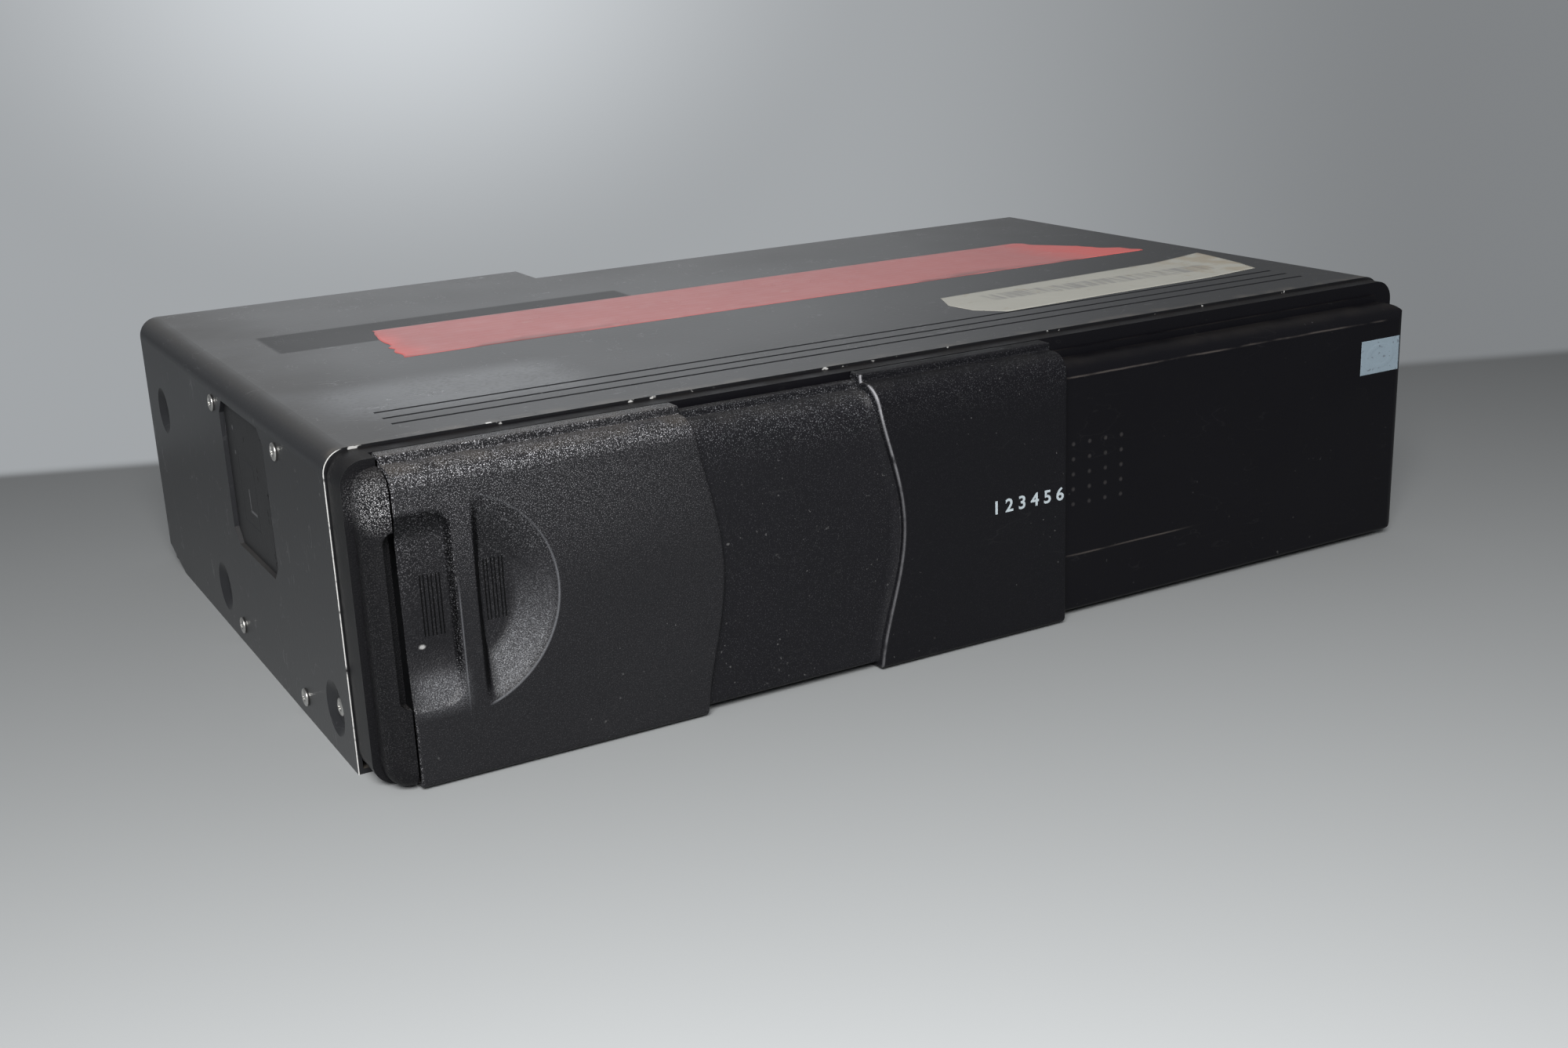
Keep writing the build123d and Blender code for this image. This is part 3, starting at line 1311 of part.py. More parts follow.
pickup_base.part.label = "pickup_base"
export_step(pickup_base.part, "parts/pickup_base.step")

with BuildPart() as pickup_lens:
    with BuildSketch(Plane.XY.offset(sled_roof - 1.0)):
        with Locations((spindle_x, lens_start)):
            Circle(2.3)
    extrude(amount=1.5)
    fillet(pickup_lens.edges().group_by(Axis.Z)[-1], 0.6)
pickup_lens.part.label = "pickup_lens"
export_step(pickup_lens.part, "parts/pickup_lens.step")

with BuildPart() as clamp_arm:
    arm_floor = hinge_level - arm_sheet / 2
    arm_left = post_left + post_width + slide_gap
    arm_right = post_right - slide_gap
    with BuildSketch(Plane.XY.offset(arm_floor)):
        with BuildLine():
            Polyline(
                (arm_left, hinge_y),
                (arm_right, hinge_y),
                (spindle_x + 11.0, spindle_y),
                (spindle_x - 11.0, spindle_y),
                close=True,
            )
        make_face()
        with Locations((spindle_x, spindle_y)):
            Circle(11.0)
            Circle(puck_neck + slide_gap, mode=Mode.SUBTRACT)
    extrude(amount=arm_sheet)
    with BuildSketch(Plane.YZ.offset(arm_left)):
        with Locations((hinge_y, hinge_level)):
            Circle(1.5)
    extrude(amount=arm_right - arm_left)
    with BuildSketch(Plane.YZ.offset(post_left + 1.0)):
        with Locations((hinge_y, hinge_level)):
            Circle(hinge_pin_radius)
    extrude(amount=post_right + post_width - post_left - 2.0)
clamp_arm.part.label = "clamp_arm"
export_step(clamp_arm.part, "parts/clamp_arm.step")

with BuildPart() as clamp_puck:
    with BuildSketch(Plane.XY.offset(puck_floor)):
        with Locations((spindle_x, spindle_y)):
            Circle(puck_radius)
    extrude(amount=arm_floor - slide_gap - puck_floor)
    with BuildSketch(Plane.XY.offset(puck_floor)):
        with Locations((spindle_x, spindle_y)):
            Circle(puck_neck)
    extrude(amount=hinge_level + arm_sheet / 2 + slide_gap - puck_floor)
    with BuildSketch(Plane.XY.offset(hinge_level + arm_sheet / 2 + slide_gap)):
        with Locations((spindle_x, spindle_y)):
            Circle(puck_cap)
    extrude(amount=1.0)
clamp_puck.part.label = "clamp_puck"
export_step(clamp_puck.part, "parts/clamp_puck.step")

print("independent travels: deck", deck_lift, "outer door", round(outer_door_travel, 3))
print("shaft turn per mm of lift", round(cam_travel / deck_lift / pinion_radius, 6), "rad")
print("hinge", round(hinge_y, 3), round(hinge_level, 3), "lever", lever_x, lever_y)
print("spindle", spindle_x, spindle_y, "shaft", shaft_x, shaft_level, "screw", screw_x, rod_level)
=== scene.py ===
import json
import math

import bpy
import numpy as np
from mathutils import Matrix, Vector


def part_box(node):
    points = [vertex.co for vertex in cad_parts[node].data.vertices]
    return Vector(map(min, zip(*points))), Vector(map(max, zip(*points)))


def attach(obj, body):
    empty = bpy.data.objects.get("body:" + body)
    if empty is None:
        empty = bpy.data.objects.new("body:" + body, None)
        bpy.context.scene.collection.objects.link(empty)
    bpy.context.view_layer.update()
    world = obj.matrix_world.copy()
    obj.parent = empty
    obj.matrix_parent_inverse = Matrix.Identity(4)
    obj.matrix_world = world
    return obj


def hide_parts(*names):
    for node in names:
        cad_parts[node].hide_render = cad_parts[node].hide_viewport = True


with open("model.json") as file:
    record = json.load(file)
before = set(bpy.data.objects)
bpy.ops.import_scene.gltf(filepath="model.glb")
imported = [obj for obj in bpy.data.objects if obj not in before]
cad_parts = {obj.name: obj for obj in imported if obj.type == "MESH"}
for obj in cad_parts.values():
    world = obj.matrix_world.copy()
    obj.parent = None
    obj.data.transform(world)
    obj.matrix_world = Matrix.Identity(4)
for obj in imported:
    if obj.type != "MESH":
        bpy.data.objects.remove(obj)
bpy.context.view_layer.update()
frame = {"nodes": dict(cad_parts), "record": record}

bl_info = {
    "name": "Car disc changer looks",
    "version": (1, 0, 0),
    "blender": (4, 5, 0),
    "location": "3D View > Sidebar > Disc changer",
    "description": "Builds the shown surfaces and finishes of a six-disc car changer around its packed CAD frame",
    "category": "Object",
}

# Places taken from the CAD frame. All lengths below are in millimetres, and meshes are laid out in metres.
MM = 0.001
COVER_LOW, COVER_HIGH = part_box("top_cover")
DOOR_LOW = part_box("door_outer")[0]
LEFT = COVER_LOW.x / MM
RIGHT = COVER_HIGH.x / MM
FRONT = COVER_LOW.y / MM
REAR = COVER_HIGH.y / MM
TOP = COVER_HIGH.z / MM
COVER_CORNER = 4.5
FACE = DOOR_LOW.y / MM

# The plastic front's side view.
FLANGE_INSET = 0.5
RAIL_BACK = 4.6
NOSE_BACK = 8.3
NOSE_DROP = 1.5
NOSE_RADIUS = 4.0
TOE_RADIUS = 1.0
FRONT_FLOOR = 0.5
DOOR_LIP = 0.6
DOOR_LIP_DEPTH = 5.0
DOOR_WALL = 1.15
MIN_SKIN = 0.1
GRIP_RELIEF = 2.6
BAND_INSET = 1.45
FIXED_INSET = 2.9

# The doors' front view.
OUTER_LEFT = LEFT + 7.5
OUTER_WAVE = (LEFT + 64.9, 5.0)
INNER_WAVE = (LEFT + 104.3, 6.1)
BAND_LEFT = LEFT + 48.0
INNER_RIGHT = LEFT + 151.0
WAVE_MIDDLE = 30.0
WAVE_REACH = 33.0

# The finger grips of the outer door: a bar and a bow that share one middle height.
GRIP_MIDDLE = 33.2
BAR_RIGHT = LEFT + 17.4
BAR_REACH = 18.5
BAR_CORNER = 4.2
BOW_CENTRE = (LEFT + 15.75, GRIP_MIDDLE)
BOW_RADIUS = 20.4
BOW_LEFT = LEFT + 21.0

# The faint dots on the fixed face: the first one's middle, and the step across and up.
DOT_START = (LEFT + 155.0, 25.4)
DOT_STEP = (4.3, 3.3)

# Side hardware: (distance behind the case's front edge, height).
SIDE_SCREWS = ((32.3, 54.0), (82.0, 54.0), (31.7, 4.4), (80.0, 4.6))
FRONT_SCREW = (10.7, 9.4)
DISH_DEPTH = 1.4

# The case screws: the head's (radius, height), and the shank.
SCREW_HEAD = (1.8, 0.8)
SHANK_RADIUS = 1.25
SHANK_LENGTH = 3.0

# The thickness of the tape and the label, and the stretch of a pattern that is the same in all directions.
SKIN = 0.03
EVEN = (1, 1, 1)

# The photograph's camera, and the foot of the wall behind the changer.
CAMERA_PLACE = (-206.44, -373.30, 139.79)
CAMERA_RIGHT = (0.865829, -0.498755, -0.039811)
CAMERA_DOWN = (-0.182745, -0.241163, -0.953124)
CAMERA_FORWARD = (0.465774, 0.832517, -0.29995)
FOCAL_LENGTH = 41.807
SENSOR_WIDTH = 36.0
WALL_FOOT_LEFT = (-153.1, 200.5)
WALL_FOOT_RIGHT = (322.6, 22.7)


# ---------------------------------------------------------------- meshes
def lay_mesh(name, points, quads):
    """Puts whole arrays of points (mm) and four-cornered faces into a new smooth-shaded object."""
    points = np.asarray(points, float).reshape(-1, 3) * MM
    quads = np.asarray(quads, np.int32).reshape(-1, 4)
    corners = points[quads]
    volume = np.einsum("ij,ij->", corners[:, 0], np.cross(corners[:, 1], corners[:, 2]))
    volume += np.einsum("ij,ij->", corners[:, 0], np.cross(corners[:, 2], corners[:, 3]))
    if volume < 0:
        quads = quads[:, ::-1].copy()
    mesh = bpy.data.meshes.new(name)
    mesh.vertices.add(len(points))
    mesh.vertices.foreach_set("co", points.ravel())
    mesh.loops.add(quads.size)
    mesh.loops.foreach_set("vertex_index", quads.ravel())
    mesh.polygons.add(len(quads))
    mesh.polygons.foreach_set("loop_start", np.arange(0, quads.size, 4))
    mesh.polygons.foreach_set("use_smooth", np.ones(len(quads), bool))
    mesh.update(calc_edges=True)
    mesh.validate()
    return show(name, mesh)


def show(name, data):
    """Puts a mesh, a curve, a lamp or a camera into the scene as an object."""
    holder = bpy.data.objects.new(name, data)
    bpy.context.scene.collection.objects.link(holder)
    return holder


def ring_quads(rings, around):
    """Faces between rings of points, where each ring is closed on itself."""
    index = np.arange(rings * around).reshape(rings, around)
    onward = np.roll(index, -1, 1)
    return np.stack([index[:-1], onward[:-1], onward[1:], index[1:]], -1).reshape(-1, 4)


def shell(outer, inner):
    """Closed wall between two grids of points of one shape.

    Each row becomes a ring: the outer row, then the inner row backwards. Rings are joined in turn, and
    the first and last ring are closed by quads across from outer point k to inner point k."""
    rows, columns = outer.shape[:2]
    ring = np.concatenate([outer, inner[:, ::-1]], 1)
    k = np.arange(columns - 1)
    caps = []
    for row, turn in ((0, 1), (rows - 1, -1)):
        base = row * 2 * columns
        cap = np.stack([base + k, base + 2 * columns - 1 - k, base + 2 * columns - 2 - k, base + k + 1], -1)
        caps.append(cap[:, ::turn])
    return ring.reshape(-1, 3), np.concatenate([ring_quads(rows, 2 * columns), *caps])


def join_shells(parts):
    """Stacks several (points, quads) pairs into one pair."""
    points, quads, count = [], [], 0
    for some_points, some_quads in parts:
        points.append(np.asarray(some_points).reshape(-1, 3))
        quads.append(some_quads + count)
        count += len(points[-1])
    return np.concatenate(points), np.concatenate(quads)


def smooth_step(value, low, high):
    """0 below low, 1 above high, and 3t^2 - 2t^3 between them."""
    t = np.clip((value - low) / (high - low), 0, 1)
    return t * t * (3 - 2 * t)


def in_mm(box):
    """The two corners of a box in millimetres."""
    low, high = box
    return low / MM, high / MM


def carry(piece, body, slot, *nodes):
    """Makes a finished piece ride on its body and stand for the CAD nodes that it replaces; the slot argument is not
    used.
    """
    if nodes:
        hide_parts(*nodes)
    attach(piece, body)
    return piece


# ---------------------------------------------------------------- shader arithmetic
class Level:
    """A socket of a node tree that holds one number and can be used in ordinary arithmetic."""

    def __init__(self, finish, socket):
        self.finish = finish
        self.socket = socket

    def math(self, operation, *others):
        values = {place + 1: other for place, other in enumerate(others)}
        return self.finish.node("ShaderNodeMath", {"operation": operation}, {0: self, **values})

    def __add__(self, other):
        return self.math("ADD", other)

    __radd__ = __add__

    def __sub__(self, other):
        return self.math("SUBTRACT", other)

    def __rsub__(self, other):
        return self.math("MULTIPLY", -1.0) + other

    def __mul__(self, other):
        return self.math("MULTIPLY", other)

    __rmul__ = __mul__

    def __truediv__(self, other):
        return self.math("DIVIDE", other)

    def __rtruediv__(self, other):
        return self.math("POWER", -1.0) * other

    def __pow__(self, other):
        return self.math("POWER", other)

    def __abs__(self):
        return self.math("ABSOLUTE")

    def __or__(self, other):
        return self.math("MAXIMUM", other)

    def __and__(self, other):
        return self.math("MINIMUM", other)


class Finish:
    """One material's or world's node tree, with the patterns that this object's finishes share."""

    def __init__(self, name, tree=None):
        if tree is None:
            self.material = bpy.data.materials.new(name)
            self.material.use_nodes = True
            tree = self.material.node_tree
        self.tree = tree
        tree.nodes.clear()

    def node(self, kind, settings=None, inputs=None, output=0):
        """Adds a node, sets its settings, then its sockets' values or links, and returns one output wrapped."""
        node = self.tree.nodes.new(kind)
        for name, value in (settings or {}).items():
            setattr(node, name, value)
        for name, value in (inputs or {}).items():
            if isinstance(value, Level):
                self.tree.links.new(value.socket, node.inputs[name])
            else:
                node.inputs[name].default_value = value
        return Level(self, node.outputs[output]) if node.outputs else None

    def place(self):
        """The point being shaded in millimetres, as three numbers: x, y and z."""
        spot = self.node("ShaderNodeTexCoord", output="Object")
        self.spot = self.node("ShaderNodeVectorMath", {"operation": "SCALE"}, {0: spot, "Scale": 1 / MM})
        return self.axes(self.spot)

    def facing(self):
        """The surface's direction as three numbers."""
        return self.axes(self.node("ShaderNodeNewGeometry", output="True Normal"))

    def axes(self, vector):
        """The three numbers of a vector."""
        return [self.node("ShaderNodeSeparateXYZ", None, {0: vector}, axis) for axis in range(3)]

    def scaled(self, size, stretch=EVEN):
        """The point being shaded, counted in steps of size millimetres times the stretch."""
        scale = tuple(1 / (size * s) for s in stretch)
        return self.node("ShaderNodeMapping", {"vector_type": "POINT"}, {"Vector": self.spot, "Scale": scale})

    def noise(self, size, detail=2.0, stretch=EVEN):
        """Soft noise from 0 to 1 whose patches are about size millimetres across."""
        inputs = {"Vector": self.scaled(size, stretch), "Scale": 1.0, "Detail": detail}
        return self.node("ShaderNodeTexNoise", None, inputs)

    def cells(self, size, output="Distance"):
        """Cell pattern with cells of about size millimetres."""
        return self.node("ShaderNodeTexVoronoi", None, {"Vector": self.scaled(size), "Scale": 1.0}, output)

    def spots(self, size, detail, low, high, stretch=EVEN):
        """0 where soft noise is under low, 1 where it is over high."""
        return self.rise(self.noise(size, detail, stretch), low, high)

    def rise(self, value, low, high):
        """0 where value is low, 1 where it is high, smooth between them."""
        return self.node(
            "ShaderNodeMapRange",
            {"interpolation_type": "SMOOTHSTEP", "clamp": True},
            {"Value": value, "From Min": low, "From Max": high, "To Min": 0.0, "To Max": 1.0},
        )

    def between(self, value, low, high, soft=0.2):
        """1 from low to high, with soft ends."""
        return self.rise(value, low - soft, low + soft) * self.rise(value, high + soft, high - soft)

    def line(self, value, middle, width, soft=0.1):
        """1 on a line of the given width about middle."""
        return self.rise(abs(value - middle), width / 2 + soft, width / 2 - soft if width / 2 > soft else 0.0)

    def patch(self, first, second, box, soft=0.2):
        """1 inside a rectangle of two of the coordinates."""
        low_a, high_a, low_b, high_b = box
        return self.between(first, low_a, high_a, soft) * self.between(second, low_b, high_b, soft)

    def dot(self, first, second, middle, radius, soft=0.15):
        """1 inside a round spot."""
        away = ((first - middle[0]) ** 2.0 + (second - middle[1]) ** 2.0) ** 0.5
        return self.rise(away, radius + soft, radius - soft if radius > soft else 0.0)

    def scratches(self, size, width, stretch=EVEN):
        """Thin wandering lines: where stretched noise is close to its middle value, kept in some patches only."""
        wander = abs(self.noise(size, 3.0, stretch) - 0.5)
        thin = self.rise(wander, width, 0.0)
        return thin * self.spots(size * 0.6, 1.0, 0.52, 0.62)

    def blend(self, amount, first, second):
        """Colour mix of two colours or colour sockets."""
        return self.node(
            "ShaderNodeMix",
            {"data_type": "RGBA", "clamp_factor": True},
            {"Factor": amount, "A": colour4(first), "B": colour4(second)},
            "Result",
        )

    def layers(self, colour, *layers):
        """Lays colours over a first one in turn, each by its own amount."""
        for amount, over in layers:
            colour = self.blend(amount, colour, over)
        return colour

    def bump(self, height, depth, normal=None):
        """Normal bent by a height from 0 to 1 that stands for depth millimetres."""
        inputs = {"Height": height, "Strength": 1.0, "Distance": depth * MM}
        if normal is not None:
            inputs["Normal"] = normal
        return self.node("ShaderNodeBump", None, inputs)

    def close(self, colour, rough, normal, metallic=0.0, specular=0.5):
        """Ends the material with one principled shader."""
        inputs = {"Base Color": colour, "Roughness": rough, "Normal": normal}
        inputs.update({"Metallic": metallic, "Specular IOR Level": specular})
        shader = self.node("ShaderNodeBsdfPrincipled", None, inputs)
        self.node("ShaderNodeOutputMaterial", None, {"Surface": shader})
        return self.material


def colour4(colour):
    """A colour or a grey with its alpha, or the socket it comes from."""
    if isinstance(colour, Level):
        return colour
    return (colour,) * 3 + (1.0,) if isinstance(colour, float) else (*colour, 1.0)


# ---------------------------------------------------------------- shapes of the sliding doors
def front_profile(inset, floor):
    """Side view (y, z) of the sliding front, from the rail over the nose and down the face to the underside.

    Straight runs joined by a quarter circle at the nose and one at the toe; the same number of points for
    every inset, so that two insets make the two sides of a wall."""
    rail = TOP - FLANGE_INSET - inset
    nose = rail - NOSE_DROP
    step = FRONT - NOSE_BACK + inset
    face = FACE + inset
    turn = np.linspace(0, math.pi / 2, 9)
    nose_arc = np.stack([face + NOSE_RADIUS * (1 - np.sin(turn)), nose - NOSE_RADIUS * (1 - np.cos(turn))], 1)
    toe_arc = np.stack([face + TOE_RADIUS * (1 - np.cos(turn)), floor + TOE_RADIUS * (1 - np.sin(turn))], 1)
    runs = [
        run_between((FRONT - RAIL_BACK, rail), (step + 0.15, rail), 5),
        run_between((step, rail - 0.15), (step, nose + 0.12), 4),
        run_between((step - 0.12, nose), nose_arc[0], 5)[:-1],
        nose_arc,
        run_between(nose_arc[-1], toe_arc[0], 112)[1:-1],
        toe_arc,
        run_between(toe_arc[-1], (face + NOSE_RADIUS + DOOR_LIP_DEPTH - inset, floor), 6)[1:],
    ]
    return np.concatenate(runs)


def run_between(start, end, count):
    """Points spaced evenly on a straight line."""
    t = np.linspace(0, 1, count)[:, None]
    return np.asarray(start) * (1 - t) + np.asarray(end) * t


def wave_line(start, bulge, height):
    """x of a door's wavy edge at each height: start plus the bulge times a squared cosine about the middle height."""
    reach = np.clip(np.abs(height - WAVE_MIDDLE) / WAVE_REACH, 0, 1)
    return start + bulge * np.cos(math.pi * reach / 2) ** 2


def door_wall(rows_outer, rows_inner, x, inset, wall):
    """Two grids of points of a door: the outer side sunk by inset (mm) at each point, the inner side at wall.

    Where the outer side sinks nearly through the wall, the inner side bulges to stay a skin behind it."""
    share = (inset / wall)[..., None]
    behind = np.maximum(1, share + MIN_SKIN / wall)
    outer = np.empty((*x.shape, 3))
    outer[..., 0] = x
    outer[..., 1:] = rows_outer[:, None] * (1 - share) + rows_inner[:, None] * share
    inner = outer.copy()
    inner[..., 1:] = rows_outer[:, None] * (1 - behind) + rows_inner[:, None] * behind
    return outer, inner


def bar_grip(x, z):
    """Depth (0 to 1) of the bar-shaped grip.

    Distance inside a rounded rectangle that is open to the left, turned into a steep wall at the right, a
    soft one at the top and a long ramp at the bottom."""
    dx = x - (BAR_RIGHT - BAR_CORNER)
    dz = np.abs(z - GRIP_MIDDLE) - (BAR_REACH - BAR_CORNER)
    inside = BAR_CORNER - np.hypot(np.maximum(dx, 0), np.maximum(dz, 0)) - np.minimum(np.maximum(dx, dz), 0)
    steep = np.clip(inside / 1.15, 0, 1)
    ramp = np.clip((z - 14.6) / 11.0, 0, 1) ** 0.65
    top = smooth_step(52.0 - z, 0.0, 5.0)
    side = 0.75 + 0.25 * smooth_step(LEFT + 14.0 - x, -2.0, 4.0)
    return np.where(inside > 0, steep * ramp * top * side, 0)


def bow_grip(x, z):
    """Depth (0 to 1) of the bow-shaped grip.

    Its right side is a circle's arc and its left side a straight line; the floor falls steeply from the line
    and rises along a straight ramp to the arc."""
    arc = BOW_RADIUS - np.hypot(x - BOW_CENTRE[0], z - BOW_CENTRE[1])
    line = x - BOW_LEFT
    rounding = np.minimum(arc, line) - 0.9 * np.exp(-np.abs(arc - line) / 1.6)
    steep = np.clip((line - np.maximum(0, 2.2 - arc) * 0.8) / 1.1, 0, 1)
    ramp = np.clip(arc / 8.5, 0, 1) ** 0.85
    return np.where(rounding > -0.6, steep * ramp, 0)


def edge_round(distance, radius):
    """How far a surface sinks near an edge: a quarter circle of the given radius."""
    d = np.clip(radius - distance, 0, radius)
    return radius - np.sqrt(np.maximum(radius ** 2 - d ** 2, 0))


def outer_door_grids(grip_depth):
    """The outer door: its left side straight, its right side the wave, both edges rounded, both grips pressed in."""
    outer_rows = front_profile(0, FRONT_FLOOR)
    inner_rows = front_profile(DOOR_WALL, FRONT_FLOOR + DOOR_LIP)
    height = outer_rows[:, 1]
    wave = wave_line(*OUTER_WAVE, height)
    near = np.concatenate([[0, 0.06, 0.16, 0.3, 0.45], np.arange(0.8, 31.0, 0.36)]) + OUTER_LEFT
    near_end = near[-1]
    t = np.concatenate([np.linspace(0, 0.94, 28)[1:], [0.965]])
    x_near = np.repeat(near[None], len(height), 0)
    x_far = near_end + (wave[:, None] - near_end) * t[None]
    x_edge = wave[:, None] - np.array([0.75, 0.55, 0.4, 0.27, 0.15, 0.06, 0.0])[None]
    x = np.concatenate([x_near, x_far, x_edge], 1)
    inset = edge_round(x - OUTER_LEFT, 0.45) + edge_round(wave[:, None] - x, 0.6)
    on_face = (outer_rows[:, 0] < FACE + 0.02)[:, None]
    z = np.repeat(height[:, None], x.shape[1], 1)
    pressed = np.maximum(bar_grip(x, z), bow_grip(x, z)) * grip_depth
    inset = np.maximum(inset, np.where(on_face, pressed, 0))
    return door_wall(outer_rows, inner_rows, x, inset, DOOR_WALL)


def inner_door_grids(rim_depth):
    """The inner door: a recessed band, then a rounded wall along the wave with a worn rim, then the raised part."""
    wall = BAND_INSET + DOOR_WALL
    outer_rows = front_profile(0, FRONT_FLOOR)
    inner_rows = front_profile(wall, FRONT_FLOOR + DOOR_LIP + BAND_INSET)
    height = outer_rows[:, 1]
    wave = wave_line(*INNER_WAVE, height)
    band = BAND_LEFT + (wave[:, None] - BAND_LEFT - 0.02) * np.linspace(0, 1, 24)[None]
    rim_x = np.array([0.0, 0.0, 0.0, 0.06, 0.17, 0.33, 0.5, 0.7, 0.9, 1.1, 1.35, 1.7])
    rim_in = np.array([1.2, 0.8, 0.5, 0.27, 0.13, 0.03, 0.0, 0.0, 0.02, 0.06, rim_depth * 0.85, rim_depth])
    rim = wave[:, None] + rim_x[None]
    last = rim[:, -1:]
    body = last + (INNER_RIGHT - 0.6 - last) * np.linspace(0, 1, 26)[None, 1:]
    end = np.repeat(np.array([[0.42, 0.25, 0.12, 0.04, 0.0]]), len(height), 0)
    x = np.concatenate([band, rim, body, INNER_RIGHT - end], 1)
    inset = np.concatenate(
        [
            np.full_like(band, BAND_INSET),
            np.repeat(rim_in[None], len(height), 0),
            np.full_like(body, rim_depth),
            rim_depth + edge_round(end, 0.5),
        ],
        1,
    )
    return door_wall(outer_rows, inner_rows, x, inset, wall)


# ---------------------------------------------------------------- marks, tape and label
def skin_between(near, far, left_end, right_end, columns, rows, ripple):
    """A thin sheet that lies on the cover.

    Its near and far edges are lines y(x) given by points, its two ends are lines x(v) given by points, and
    each grid point lies between them; the upper side stands over the cover by SKIN plus a ripple(x, y)."""
    u = np.linspace(0, 1, columns)[None]
    v = np.linspace(0, 1, rows)[:, None]
    start = np.interp(v, *left_end)
    stop = np.interp(v, *right_end)
    x = start + (stop - start) * u
    y = np.interp(x, *near) * (1 - v) + np.interp(x, *far) * v
    upper = np.stack([LEFT + x, FRONT + y, TOP + SKIN + ripple(x, y)], -1)
    lower = upper.copy()
    lower[..., 2] = TOP
    return shell(upper, lower)


def ring_mark(centre_x, centre_z, face_y, size, depth):
    """A square plate with a raised ring: a grid whose height is 1 inside the ring's width and 0.4 elsewhere."""
    steps = np.linspace(-0.5, 0.5, 61)
    x, z = np.meshgrid(steps * size[0], steps * size[1])
    away = np.hypot(x / size[0], z / size[1])
    height = 0.4 + 0.6 * smooth_step(0.07 - np.abs(away - 0.3), 0.0, 0.03)
    upper = np.stack([centre_x + x, face_y - depth * height, centre_z + z], -1)
    lower = upper.copy()
    lower[..., 1] = face_y + 0.05
    return shell(upper, lower)

# ---------------------------------------------------------------- turned and wound pieces
def square_to(axis):
    """Two directions square to an axis and to each other."""
    side = np.cross(axis, (0.0, 0.0, 1.0))
    side /= np.linalg.norm(side)
    return side, np.cross(axis, side)


def screw_head(place, outward):
    """Pan head with a cross recess, and its shank, turned about the outward direction.

    The head's top is a low dome; the cross is where either coordinate across the axis is under a fifth of
    the radius, three quarters of the head deep."""
    radius, height = SCREW_HEAD
    axis = np.asarray(outward, float)
    side, other = square_to(axis)
    step = math.pi / 22
    foot = 0.45
    profile = [(1e-4, -SHANK_LENGTH), (SHANK_RADIUS, -SHANK_LENGTH), (SHANK_RADIUS, 0.0), (radius, 0.0)]
    profile += [(radius, height * foot), (radius * math.cos(step) + 1e-4, height * (foot + 0.55 * math.sin(step)))]
    dome_radius = np.linspace(radius * math.cos(2 * step) + 1e-4, 1e-4, 22)
    dome = np.stack([dome_radius, height * (foot + 0.55 * np.sqrt(1 - (dome_radius / radius) ** 2))], 1)
    profile = np.concatenate([profile, dome])
    angle = np.linspace(0, 2 * math.pi, 48, endpoint=False)[None]
    from_axis = profile[:, :1]
    a, b = from_axis * np.cos(angle), from_axis * np.sin(angle)
    arm = smooth_step(radius * 0.2 - np.minimum(np.abs(a), np.abs(b)), -0.08, 0.08)
    arm = arm * smooth_step(radius * 0.62 - from_axis, -0.1, 0.1)
    level = profile[:, 1:] - arm * height * 0.75 * (profile[:, 1:] > height * 0.5)
    points = np.asarray(place) + a[..., None] * side + b[..., None] * other + level[..., None] * axis
    return points.reshape(-1, 3), ring_quads(*points.shape[:2])


def coil(start, end, radius, wire, turns):
    """A round wire wound about a straight line from start to end.

    The middle of the wire goes round a circle while it moves evenly along the line, with closed turns at
    both ends; the wire's own circle is carried along it."""
    start, end = np.asarray(start, float), np.asarray(end, float)
    length = np.linalg.norm(end - start)
    axis = (end - start) / length
    side, other = square_to(axis)
    t = np.linspace(0, 1, int(turns * 20))[:, None]
    angle = 2 * math.pi * turns * t
    radial = np.cos(angle) * side + np.sin(angle) * other
    travel = wire * 1.1 + (length - 2.2 * wire) * np.clip((t - 0.08) / 0.84, 0, 1)
    middle = start + radial * radius + axis * travel
    round_angle = np.linspace(0, 2 * math.pi, 9, endpoint=False)[None, :, None]
    return tube(middle[:, None] + (np.cos(round_angle) * radial[:, None] + np.sin(round_angle) * axis) * wire)


def tube(rings):
    """Joins rings of points into a tube and closes both ends by drawing them nearly to their middles."""

    def drawn_in(ring):
        middle = ring.mean(1, keepdims=True)
        return middle + (ring - middle) * 0.01

    rings = np.concatenate([drawn_in(rings[:1]), rings, drawn_in(rings[-1:])])
    return rings.reshape(-1, 3), ring_quads(*rings.shape[:2])


def threaded_rod(start, end, radius, depth, pitch):
    """A rod whose radius swings between its full size and the thread's root: radius minus depth times a
    rounded wave of the angle less the distance along the rod over the pitch."""
    start, end = np.asarray(start, float), np.asarray(end, float)
    length = np.linalg.norm(end - start)
    axis = (end - start) / length
    side, other = square_to(axis)
    along = np.arange(0, length, pitch / 8)
    along[-1] = length
    angle = np.linspace(0, 2 * math.pi, 24, endpoint=False)
    phase = angle[None] - 2 * math.pi * along[:, None] / pitch
    plain = smooth_step(np.minimum(along, length - along), 3.0, 3.4)[:, None]
    size = radius - depth * plain * (0.5 + 0.5 * np.cos(phase)) ** 0.6
    spread = np.cos(angle)[None, :, None] * side + np.sin(angle)[None, :, None] * other
    return tube(start + along[:, None, None] * axis + size[..., None] * spread)


